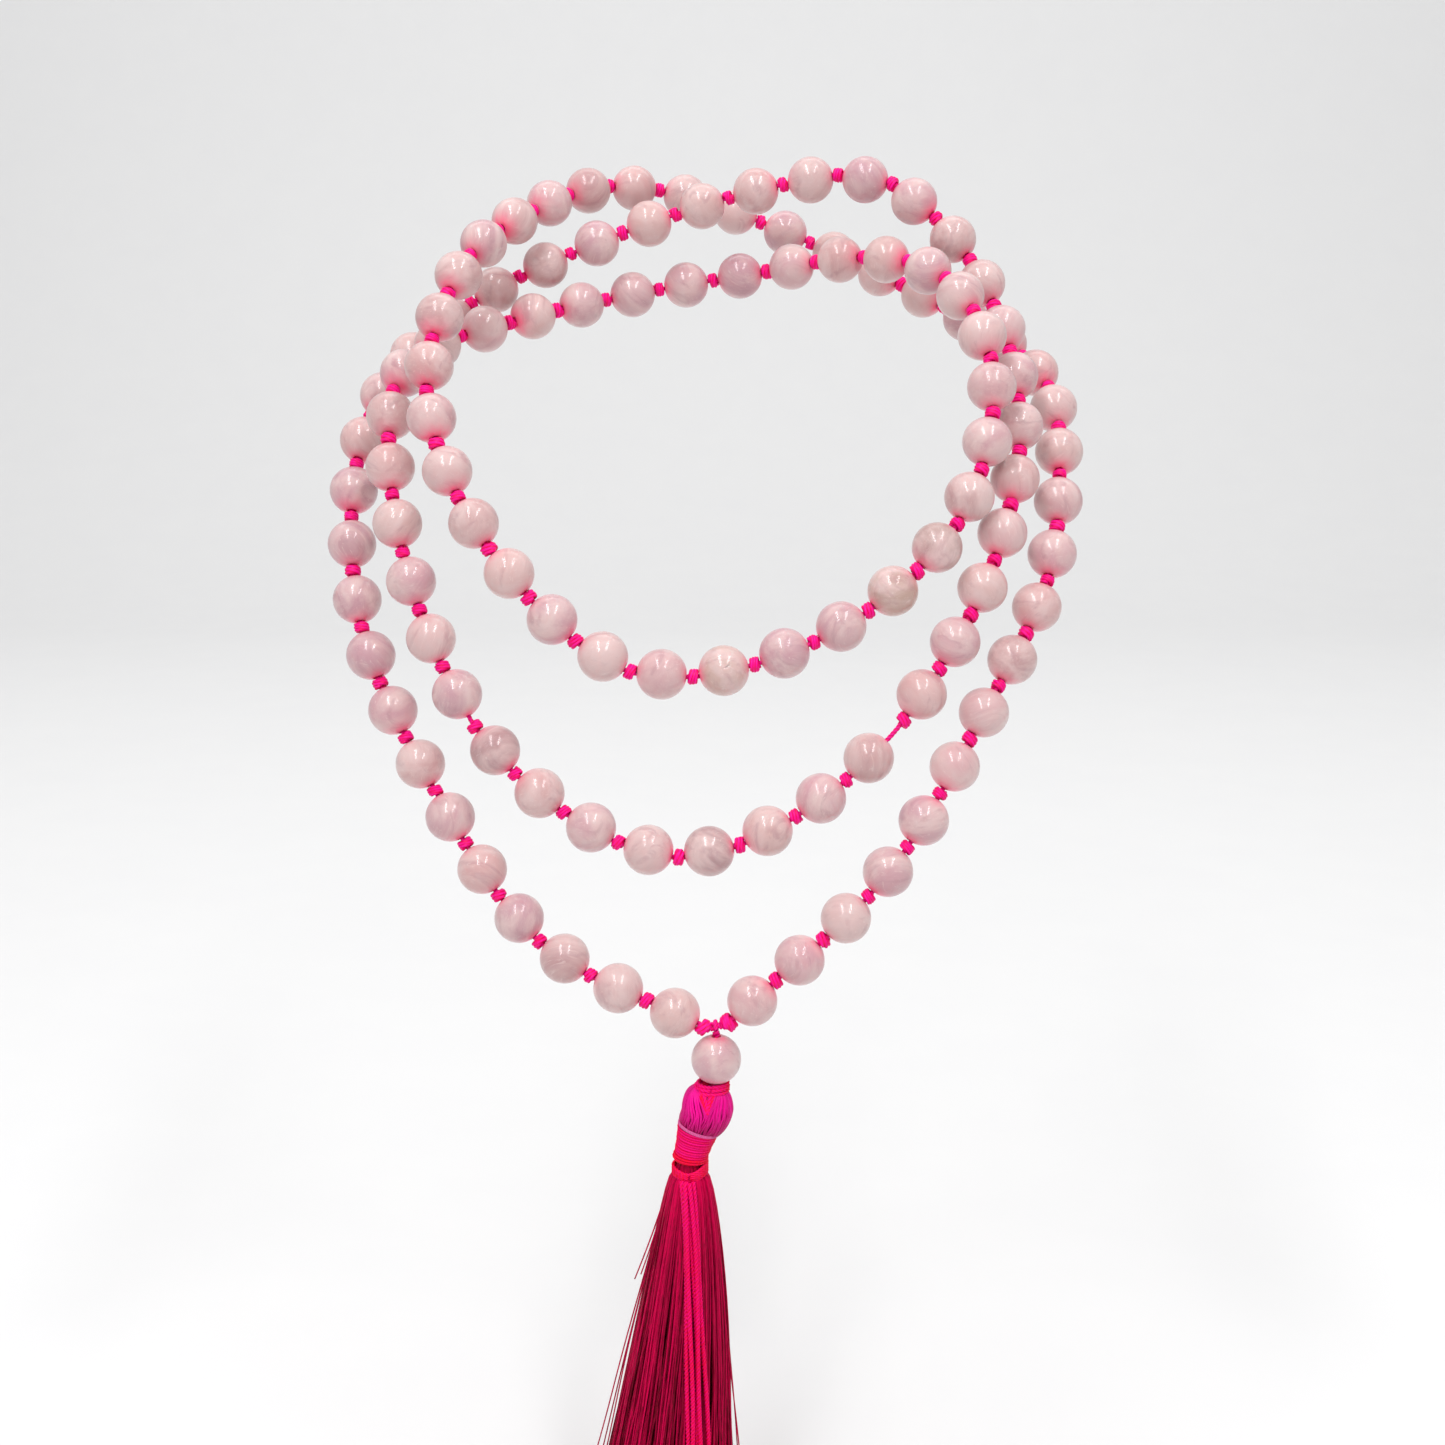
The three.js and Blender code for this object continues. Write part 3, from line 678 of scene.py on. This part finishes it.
def bead_piece(name, centre, axis, tint, body, node_name, fine=False):
    points, quads = FINE_BEAD_SKIN if fine else BEAD_SKIN
    out_of_round = 1.0 - 0.008 * RANDOM.random(3)
    own = points * out_of_round
    glow = bead_glow(points, -1.0 if axis[2] > 0 else 1.0)
    placed = own @ turned_to(axis) + centre
    stone = np.array(colour(*tint)[:3]) * STONE_DEPTH * RANDOM.uniform(0.96, 1.04)
    stone = np.tile(stone, (len(placed), 1))
    if fine:
        hollow = pit_depth(placed, centre, PIT_HEADING)[:, None]
        placed = placed - PIT_DEPTH * hollow * PIT_HEADING
        # Painted shade: the stone is darkened in the hollow, the more the deeper the point lies.
        stone = stone * (1 - PIT_PAINTED_SHADE * hollow)
    shape = Shape()
    shift = RANDOM.uniform(-60.0, 60.0, 3)
    spin = unit(RANDOM.normal(size=(3, 3)))
    shape.add(placed, quads, grain=own @ spin + shift, glow=glow, tint=stone)
    return ride_as(shape.build(name, STONE), body, "rose_quartz", node_name)


# The beads that are CAD nodes of their own: loop, first place in the strand, how many, first number
LOOP_BEADS = (("outer", 0, 10, 1), ("middle", 31, 14, 1), ("inner", 64, 14, 1), ("outer", 98, 10, 11))


def loop_bead(index):
    """The name of the CAD bead at this place in the strand, where it is a node of its own."""
    for loop, first, count, number in LOOP_BEADS:
        if first <= index < first + count:
            return f"{loop}_bead_{number + index - first:02d}"
    return None


def run_node(index):
    return next(row[2] for row in STRETCHES if row[3] <= index < row[3] + row[4])


for index in range(STRAND_BEADS):
    tint = GREYED.get(index, TINTS[RANDOM.integers(len(TINTS))])
    own_node = loop_bead(index)
    name = f"quartz_{own_node}" if own_node else f"quartz_neck_bead_{index + 1:03d}"
    bead_piece(
        name, bead_centres[index], bead_axes[index], tint,
        own_node or "neck_strand", own_node or run_node(index), index == PITTED_BEAD,
    )
DOWN = np.array([0.0, 0.0, -1.0])
bead_piece("quartz_guru_bead", guru_centre, DOWN, GURU_TINT, "guru_bead", "guru_bead")

# ---------------------------------------------------------------- junction and guru cord
PAIR_STEP = 0.18
PAIR_LAY = 1.5
PAIR_SHADE = 0.6


def twisted_pair(shape, line, apart, lay, radius):
    """Two plied strands laid round each other along a line."""
    path = resample(line, PAIR_STEP)
    _, side, across = transported(path)
    angle = 2 * math.pi * travelled(path) / lay
    for half in (0.0, math.pi):
        offset = np.cos(angle + half)[:, None] * side + np.sin(angle + half)[:, None] * across
        plied(shape, path + apart * offset, radius, PAIR_LAY, PAIR_SHADE)


bridge = unit(knots[-1] - knots[0])
LEFT_END = knots[0] + (0.0, 0.0, -0.3)
RIGHT_END = knots[-1] + (0.0, 0.0, -0.2)
SAG = junction + (0.0, 0.0, -0.5)
joint_shape = Shape()
tied_knot(joint_shape, LEFT_END, unit(bead_axes[0] + (0.0, 0.0, 0.25)), 1.08)
tied_knot(joint_shape, RIGHT_END, bead_axes[-1], 1.18)
twisted_pair(joint_shape, smooth_line([LEFT_END, SAG, RIGHT_END], 12), 0.4, 3.2, 0.41)
ride_as(joint_shape.build("junction_knots", CORD), "outer_loop", "cord", "outer_loop_cord")

HANGER_RING = 0.9
HANGER_RING_DROP = 0.12
HANGER_RING_CORD = 0.36
hanger = Shape()
ring_side = unit(np.cross(bridge, (0.0, 0.0, 1.0)))
ring_up = np.cross(ring_side, bridge)
ring_angle = full_turn(30)[:, None]
ring = SAG + (0.0, 0.0, -HANGER_RING_DROP) + HANGER_RING * (
    np.cos(ring_angle) * ring_side + np.sin(ring_angle) * ring_up
)
plied(hanger, ring, HANGER_RING_CORD, 1.6, PAIR_SHADE, closed=True)
twisted_pair(hanger, np.array([SAG + (0, 0, -1.0), guru_centre, lower_knot]), 0.33, 2.6, 0.33)
tied_knot(hanger, lower_knot, DOWN, 0.75)
ride_as(hanger.build("guru_hanging_cord", CORD), "guru_hanger", "cord", "guru_cord")

# ---------------------------------------------------------------- tassel head
# The band's turns: middle, height, radius
BAND_TURNS = ((0.95, -132.3, 2.3), (0.8, -132.8, 2.5), (0.6, -133.3, 2.65))
BAND_WIDTH, BAND_DEPTH = 1.04, 0.95
BAND_CORD = 0.34
BAND_LAY = 2.0
COIL_MIDDLE, COIL_HEIGHT = 0.9, -132.95
COIL_TURNS = 4
COIL_START, COIL_PITCH = 0.55, 0.44
COIL_CORD = 0.3
band = Shape()
around = full_turn(72)
for turn_index, (middle, height, reach) in enumerate(BAND_TURNS):
    ring = np.stack(
        [
            middle + reach * np.sin(around) * BAND_WIDTH,
            FRONT - reach * np.cos(around) * BAND_DEPTH,
            height + 0.1 * np.sin(around + turn_index) - 0.1 * turn_index * np.cos(around),
        ],
        axis=-1,
    )
    red_right = 0.75 - 0.75 * np.clip(np.sin(around), 0, 1) ** 3
    plied(band, ring, BAND_CORD, BAND_LAY, red_right, closed=True)
coil_turn = np.linspace(0.0, 2 * math.pi * COIL_TURNS, 30 * COIL_TURNS)
coil_reach = COIL_START + COIL_PITCH * coil_turn / (2 * math.pi)
coil = np.stack(
    [
        COIL_MIDDLE + coil_reach * np.sin(coil_turn),
        FRONT - coil_reach * np.cos(coil_turn),
        np.full(len(coil_turn), COIL_HEIGHT),
    ],
    axis=-1,
)
plied(band, coil, COIL_CORD, BAND_LAY, 0.2)
ride_as(band.build("head_band", WRAP), "guru_hanger", "cord", "guru_cord")

HEAD_MIDDLE = head_centre + (0.1, 0.0, 0.65)
HEAD_REACH = 3.95
HEAD_DEPTH = 0.92
HEAD_RISE = 3.95
HEAD_FALL = 3.4
HEAD_NECK_REACH = 3.05
HEAD_NECK_SHIFT = -1.25
PART_WIDTH = 1.9
PART_TOP, PART_LENGTH = 0.08, 0.4
HEAD_THREADS = 112
HEAD_THREAD_RADIUS = 0.185
HEAD_SHARES = np.concatenate([np.linspace(0.05, 0.5, 16), np.linspace(0.53, 1.0, 16)])


def head_point(share, azimuth, lift):
    """A place on the head: share runs from its top to its neck, azimuth from its front round to the right."""
    share, azimuth = np.broadcast_arrays(share, azimuth)
    upper = np.clip(share, 0.0, 0.5) * math.pi
    lower = np.clip(2 * share - 1, 0, None)
    reach = HEAD_REACH * np.sin(upper) ** 0.55 - (HEAD_REACH - HEAD_NECK_REACH) * lower**2.8
    front = np.clip(np.cos(azimuth), 0, 1) ** 3
    parted = PART_WIDTH * np.clip(1 - (share - PART_TOP) / PART_LENGTH, 0, 1) / reach
    angle = azimuth + np.sign(np.sin(azimuth)) * parted * front
    x = (reach + lift) * np.sin(angle)
    return HEAD_MIDDLE + np.stack(
        [
            x + HEAD_NECK_SHIFT * lower**1.4,
            -HEAD_DEPTH * (reach + lift) * np.cos(angle),
            HEAD_RISE * np.cos(upper) - HEAD_FALL * lower - 0.27 * x * lower,
        ],
        axis=-1,
    )


head = Shape()
share = HEAD_SHARES
for count in range(HEAD_THREADS):
    azimuth = (count + 0.5 + RANDOM.uniform(-0.25, 0.25)) * 2 * math.pi / HEAD_THREADS
    lift = (-0.12 if count % 2 else 0.0) + RANDOM.uniform(-0.05, 0.05)
    sway = azimuth + 0.05 * np.sin(share * 7 + RANDOM.uniform(0, 6)) - 0.12 * (share - 0.5) * np.sin(azimuth)
    path = head_point(share, sway, lift)
    # Painted shade: each thread is painted darker down the head's lower half, where it turns in under towards
    # the neck.
    depth = np.clip((share - 0.42) / 0.5, 0, 1)
    shade = np.clip(RANDOM.uniform(0.55, 1.0) * (1 - 0.8 * depth), 0, 1)
    smooth_thread(head, path, HEAD_THREAD_RADIUS * RANDOM.uniform(0.85, 1.15), shade, 7)
CORE_ROWS = 24
CORE_DEPTH = 0.3
core_angle = full_turn(48)


def core_skin(shape, rings, shade):
    """A closed skin through a stack of rings of points, under the threads, in one shade, which the callers
    paint dark as painted shade in the gaps between the threads.
    """
    points = np.vstack([*rings, rings[0].mean(0), rings[-1].mean(0)])
    sizes = len(rings), len(rings[0])
    shade = np.full(len(points), shade)
    shape.add(points, ring_quads(*sizes), end_fans(*sizes), fibre=points * 3.0, shade=shade)


core_shares = np.linspace(0.03, 1.0, CORE_ROWS)
# The head's core is painted dark as painted shade where it shows between the threads.
core_skin(head, [head_point(value, core_angle, -CORE_DEPTH) for value in core_shares], 0.1)
ride_as(head.build("head_silk", HEAD), "tassel", "head_thread", "tassel_head")

# The cords seen in the head's parting: side, how far inside the outer ones, shade
NOTCH_CORDS = ((-1, 0.0, 0.1), (1, 0.0, 0.1), (-1, 0.5, 0.75), (1, 0.5, 0.6))
# Their way down: distance from the middle, share of the shift inwards, depth, height
NOTCH_STOPS = ((1.15, 1.0, -1.7, 3.5), (0.95, 1.0, -2.6, 2.9), (0.5, 0.7, -3.15, 1.6), (0.1, 0.0, -3.4, 0.4))
notch = Shape()
for side_sign, inward, shade in NOTCH_CORDS:
    stops = [(side_sign * (out - inward * share), y, z) for out, share, y, z in NOTCH_STOPS]
    plied(notch, smooth_line(HEAD_MIDDLE + stops, 12), BAND_CORD, 1.9, shade)
ride_as(notch.build("head_inner_cord", WRAP), "tassel", "cord", "tassel_head")

# ---------------------------------------------------------------- tassel wrap
WRAP_FOOT_MIDDLE = skirt_pivot + (0.2, 0.0, 0.0)
WRAP_LEAN = np.array([0.27, 0.0, 1.0])


def wrap_ring(height, reach, angle):
    """Places round the wrap at a height above the skirt's pivot, on rows that fall a little to the right."""
    height, reach, angle = np.broadcast_arrays(height, reach, angle)
    side = reach * np.sin(angle)
    fall = (0.1 + 0.022 * height) * side
    offset = np.stack([side, reach * np.cos(angle), -fall], axis=-1)
    return WRAP_FOOT_MIDDLE + height[:, None] * WRAP_LEAN + offset


WRAP_HEIGHTS, WRAP_RADII = (0.0, 1.0, 2.6, 5.0, 5.4), (2.62, 2.6, 2.75, 3.15, 3.0)


def wrap_radius(height):
    return np.interp(height, WRAP_HEIGHTS, WRAP_RADII)


WRAP_ROWS = 12
WRAP_FOOT = -0.2
WRAP_ROW_PITCH = 0.43
WRAP_ROW_STEPS = 56
WRAP_THREAD_RADIUS = 0.215
WRAP_LAY = 1.3
WRAP_CORE_DEPTH = 0.06
wrap = Shape()
angle = np.linspace(0.0, 2 * math.pi * WRAP_ROWS, WRAP_ROWS * WRAP_ROW_STEPS)
row = angle / (2 * math.pi)
height = WRAP_FOOT + row * WRAP_ROW_PITCH + 0.03 * np.sin(2.3 * row)
reach = wrap_radius(height) + 0.03 * np.sin(1.7 * row) + np.where(row < 2, 0.06, 0.0)
path = wrap_ring(height, reach, angle)
# Painted light and shade: the wrap's front is painted lighter pink and its sides and back darker red; its
# rows differ a little from one another, and the two bottom rows get the darkest red.
facing = np.clip(-np.cos(angle - 0.2), 0, 1)
striped = 0.72 + 0.28 * np.sin(2.6 * np.floor(row))
shade = np.where(row < 2, 0.0, 1.15 * striped * np.clip(facing * 1.25 - 0.2, 0, 1))
plied(wrap, path, WRAP_THREAD_RADIUS, WRAP_LAY, np.clip(shade, 0, 1))
core_heights = np.linspace(WRAP_FOOT - 0.1, WRAP_FOOT + WRAP_ROWS * WRAP_ROW_PITCH, CORE_ROWS)
core_rings = [wrap_ring(value, wrap_radius(value) - WRAP_CORE_DEPTH, core_angle) for value in core_heights]
# The wrap's core is painted the darkest red, as painted shade in the grooves between its rows.
core_skin(wrap, core_rings, 0.0)
ride_as(wrap.build("wrap_winding", WRAP), "tassel", "wrap_thread", "tassel_wrap")

NECK_THREAD_START, NECK_THREAD_TURNS = 0.4, 2.1
NECK_THREAD_HEIGHT, NECK_THREAD_REACH = 4.95, 3.3
NECK_THREAD_RADIUS = 0.12
neck_turns = Shape()
angle = np.linspace(NECK_THREAD_START, NECK_THREAD_START + 2 * math.pi * NECK_THREAD_TURNS, 150)
row = angle / (2 * math.pi)
for strand_offset in (0.0, 0.19):
    height = NECK_THREAD_HEIGHT + 0.12 * row + strand_offset - 0.3 * np.sin(angle)
    plied(neck_turns, wrap_ring(height, NECK_THREAD_REACH, angle), NECK_THREAD_RADIUS, 0.9, 0.7)
ride_as(neck_turns.build("neck_binding_thread", PALE), "tassel", "head_thread", "tassel_wrap")

# ---------------------------------------------------------------- skirt
TIP_HALF_WIDTH = 11.3
TIP_HALF_DEPTH = 6.6
SHOULDER_RADIUS = 3.1
WAIST_RADIUS = 1.75
SKIRT_LEAN = 4.8
THREADS = 760
INNER_SHARE = 0.45
THREAD_LENGTH = 64.6
THREAD_STOPS = [-0.6, 0.6, 2.0, 3.4, 5.5, 8.5]
EVEN_STOPS_FROM = 12.0
# Painted light: the skirt's threads are painted lighter just below its neck, by these amounts at these
# depths.
LIGHT_DEPTHS = (0.0, 3.5, 10.0, 17.0, 33.0, SKIRT_LENGTH)
PAINTED_LIGHT_BY_DEPTH = (0.0, 0.42, 0.18, 0.05, 0.07, 0.0)


def skirt_frame(depth):
    """The skirt's middle and half width and half depth at depths below its pivot."""
    depth = np.asarray(depth, float)
    fall = np.clip((depth - SKIRT_NECK_LENGTH) / (SKIRT_LENGTH - SKIRT_NECK_LENGTH), 0, 1.02)
    spread = fall**0.74
    neck = np.clip(depth / SKIRT_NECK_LENGTH, 0, 1) ** 2
    waist = WAIST_RADIUS + (SHOULDER_RADIUS - WAIST_RADIUS) * neck
    middle = skirt_pivot[0] + 0.1 - SKIRT_LEAN * fall**1.4
    half_width = waist + (TIP_HALF_WIDTH - SHOULDER_RADIUS) * spread
    half_depth = waist + (TIP_HALF_DEPTH - SHOULDER_RADIUS) * spread
    return middle, half_width, half_depth


def skirt_thread(shape, across, deep, length, radius, shade, drift=0.0, flare=0.0, flare_from=20.0):
    """A free thread at a place in the skirt, from -1 to 1 across and deep, that may stray outwards."""
    depth = np.concatenate([THREAD_STOPS, np.linspace(EVEN_STOPS_FROM, length, 13)])
    middle, half_width, half_depth = skirt_frame(depth)
    wave = RANDOM.uniform(0, 6.28)
    sway = 0.28 * np.clip(depth / 40, 0, 1.4) * np.sin(depth / RANDOM.uniform(7, 15) + wave)
    out = np.clip((depth - flare_from) / 20.0, 0, 3) ** 1.3 * flare
    turn = drift * np.clip(depth / SKIRT_LENGTH, 0, 1)
    x = middle + half_width * (across * np.cos(turn) - deep * np.sin(turn)) + sway + out
    y = FRONT + half_depth * (deep * np.cos(turn) + across * np.sin(turn)) + 0.6 * sway
    path = np.stack([x, y, skirt_pivot[2] - depth], axis=-1)
    reach = radius * np.interp(depth, [-0.6, 3.0, 12.0, length], [0.7, 0.8, 1.0, 0.85])
    smooth_thread(shape, path, reach, shade + np.interp(depth, LIGHT_DEPTHS, PAINTED_LIGHT_BY_DEPTH), 5)


skirt = Shape()
for _ in range(THREADS):
    reach = math.sqrt(RANDOM.random()) if RANDOM.random() < INNER_SHARE else RANDOM.uniform(0.86, 1.0)
    angle = RANDOM.uniform(0, 2 * math.pi)
    skirt_thread(
        skirt, reach * math.cos(angle), reach * math.sin(angle),
        THREAD_LENGTH - abs(RANDOM.normal(0, 0.9)),
        RANDOM.uniform(0.125, 0.17), np.clip(RANDOM.normal(0.42, 0.22), 0.02, 1.0), RANDOM.normal(0, 0.16),
    )
# Threads that stray from the bundle: across, deep, length, flare, depth that it starts at
STRAYS = (
    (-0.97, -0.2, 20, -2.6, 9), (-0.99, -0.1, 21, -3.0, 8), (-1.0, -0.05, 58, -1.1, 14),
    (-0.98, 0.15, 60, -0.7, 16), (-0.99, -0.12, 62, -0.42, 12), (-0.97, 0.2, 63, -0.3, 18),
    (0.98, -0.15, 62, 0.95, 24), (0.99, 0.1, 60, 0.4, 12), (1.0, -0.02, 63, 0.22, 10),
    (0.97, 0.2, 62, 0.3, 20), (0.3, 0.96, 61, 0.2, 16), (-0.4, 0.92, 62, -0.2, 18),
)
for across, deep, length, flare, flare_from in STRAYS:
    skirt_thread(skirt, across, deep, length, 0.13, 0.5, 0.0, flare, flare_from)
ride_as(skirt.build("skirt_silk", SKIRT), "skirt", "skirt_thread", "tassel_skirt")

# ---------------------------------------------------------------- collar and tails
COLLAR_STRANDS = 5
COLLAR_HALF_WIDTH, COLLAR_HALF_DEPTH = 2.72, 2.6
COLLAR_CORD = 0.29
COLLAR_FRONT_ANGLE = 0.85
collar_middle = skirt_pivot + (0.2, 0.0, 0.65 - COLLAR_DROP)
collar = Shape()
front = np.exp(-((np.minimum(around, 2 * math.pi - around) / COLLAR_FRONT_ANGLE) ** 2))
for strand in range(COLLAR_STRANDS):
    step = (strand - 2) / 2
    ring = np.stack(
        [
            collar_middle[0] + COLLAR_HALF_WIDTH * np.sin(around),
            FRONT - (COLLAR_HALF_DEPTH + 0.1 * (1 - abs(step))) * np.cos(around),
            collar_middle[2] + step * (0.8 - 0.15 * front) - 0.85 * front + 0.35 * np.sin(around),
        ],
        axis=-1,
    )
    # Painted light and shade: each strand is painted lighter at the front and darker red round its back, the
    # upper strands most.
    shade = 0.04 + 0.16 * front + 0.05 * strand * front
    plied(collar, ring, COLLAR_CORD, 1.8, shade, closed=True)
ride_as(collar.build("collar_loop", WRAP), "skirt", "cord", "cord_tails")

TAIL_TOPS = (-1.35, -0.85, -0.4, 0.0, 0.4)
TAIL_TIPS = (4.1, 5.0, 5.8, 6.6, 7.5)
TAIL_LAYERS = (0.0, 0.55, 0.0, 0.6, 0.05)
TAIL_LENGTHS = (61.0, 63.0, 60.0, 62.5, 59.0)
TAIL_STOPS = np.array([0, 0.02, 0.05, 0.1, 0.17, 0.25, 0.36, 0.48, 0.6, 0.72, 0.85, 0.97])
for tail, (top, tip, layer, length) in enumerate(zip(TAIL_TOPS, TAIL_TIPS, TAIL_LAYERS, TAIL_LENGTHS)):
    depth = COLLAR_DROP + 0.5 + length * TAIL_STOPS
    middle, half_width, half_depth = skirt_frame(depth)
    share = np.clip((depth - COLLAR_DROP) / length, 0, 1)
    offset = top * (1 - share) + tip * share + 0.18 * np.sin(depth * 0.14 + tail * 1.9)
    surface = half_depth * np.sqrt(np.clip(1 - (offset / half_width) ** 2, 0.05, 1)) + 0.42 + layer
    line = smooth_line(np.stack([middle + offset, FRONT - surface, skirt_pivot[2] - depth], axis=-1), 10)
    # Painted shade: the tails are painted darker towards their tips.
    cord_piece(f"cord_tail_{tail + 1}", line, "skirt", "cord_tails", TAIL, 0.25)

# ---------------------------------------------------------------- floor, backdrop and lights
FLOOR_HEIGHT = -216.0
FLOOR_FRONT = -1500.0
FLOOR_CURVE_START, FLOOR_CURVE_RADIUS = 900, 500
FLOOR_HALF_WIDTH = 1900
FLOOR_COLUMNS = 9
WALL_HEIGHT = 2200
floor = Shape()
depth_profile = [(FLOOR_FRONT, FLOOR_HEIGHT)]
for turned in np.linspace(0.0, math.pi / 2, 14):
    y = FLOOR_CURVE_START + FLOOR_CURVE_RADIUS * math.sin(turned)
    depth_profile.append((y, FLOOR_HEIGHT + FLOOR_CURVE_RADIUS * (1 - math.cos(turned))))
depth_profile.append((FLOOR_CURVE_START + FLOOR_CURVE_RADIUS, FLOOR_HEIGHT + WALL_HEIGHT))
columns = np.linspace(-FLOOR_HALF_WIDTH, FLOOR_HALF_WIDTH, FLOOR_COLUMNS)
floor_points = np.array([(x, y, z) for y, z in depth_profile for x in columns])
rows = np.arange(len(depth_profile) - 1)[:, None] * FLOOR_COLUMNS
corner = (rows + np.arange(FLOOR_COLUMNS - 1)).ravel()
beyond = corner + FLOOR_COLUMNS
floor.add(floor_points, np.stack([corner, corner + 1, beyond + 1, beyond], axis=-1))
paper, paper_tree, paper_shader = shader("pale_paper", Roughness=0.85, Specular_IOR_Level=0.2)
speckle = noise(paper_tree, node(paper_tree, "ShaderNodeTexCoord").outputs["Object"], 40.0, 3.0)
speckled = mixed(paper_tree, speckle, (0.78, 0.78, 0.785, 1.0), (0.8, 0.8, 0.8, 1.0))
paper_tree.links.new(speckled, paper_shader.inputs["Base Color"])
floor.build("studio_floor", paper)

WORLD_STRENGTH = 0.55
world = bpy.data.worlds.new("studio")
world.use_nodes = True
world.node_tree.nodes["Background"].inputs["Color"].default_value = (1.0, 1.0, 1.0, 1.0)
world.node_tree.nodes["Background"].inputs["Strength"].default_value = WORLD_STRENGTH
bpy.context.scene.world = world

# Places of the lights and their sizes are metres. The strips light the beads from beside the camera.
AIM = Vector((0.0, -0.06, -0.075))
STRIP_LEFT = ((-0.3, 0.95, 0.25), (-0.24, 0.4, 0.95))
STRIP_RIGHT = ((0.34, 0.9, 0.25), (0.26, 0.45, 0.85))
FILL_PLACE = Vector((0.0, 0.45, 0.8))
FILL_TARGET = Vector((0.0, 1.0, 0.0))


def area_light(name, size, energy, place, turn):
    """A lamp of a width and length, where turn's columns are its width, its length and its back."""
    data = bpy.data.lights.new(name, "AREA")
    data.shape = "RECTANGLE"
    data.size, data.size_y = size
    data.energy = energy
    lamp = bpy.data.objects.new(name, data)
    lamp.matrix_world = Matrix.Translation(place) @ turn.to_4x4()
    bpy.context.scene.collection.objects.link(lamp)


def from_camera(right, up, back):
    """A place from the aim point along the camera's own right, up and back."""
    tilt = math.radians(CAMERA_TILT)
    forth = up * math.sin(tilt) - back * math.cos(tilt)
    return AIM + Vector((right, forth, up * math.cos(tilt) + back * math.sin(tilt)))


def strip_light(name, ends, width, energy):
    """A long narrow lamp between two places told from the camera, facing the beads."""
    start, end = (from_camera(*place) for place in ends)
    middle = (start + end) / 2
    along = (end - start).normalized()
    facing = (middle - AIM).normalized()
    facing = (facing - along * facing.dot(along)).normalized()
    turn = Matrix((along.cross(facing), along, facing)).transposed()
    area_light(name, (width, (end - start).length), energy, middle, turn)


strip_light("strip_left", STRIP_LEFT, 0.14, 5.3)
strip_light("strip_right", STRIP_RIGHT, 0.12, 3.6)
fill_turn = (FILL_PLACE - FILL_TARGET).to_track_quat("Z", "Y").to_matrix()
area_light("wall_fill", (1.8, 0.5), 5.0, FILL_PLACE, fill_turn)

bpy.context.scene.view_settings.view_transform = "Standard"
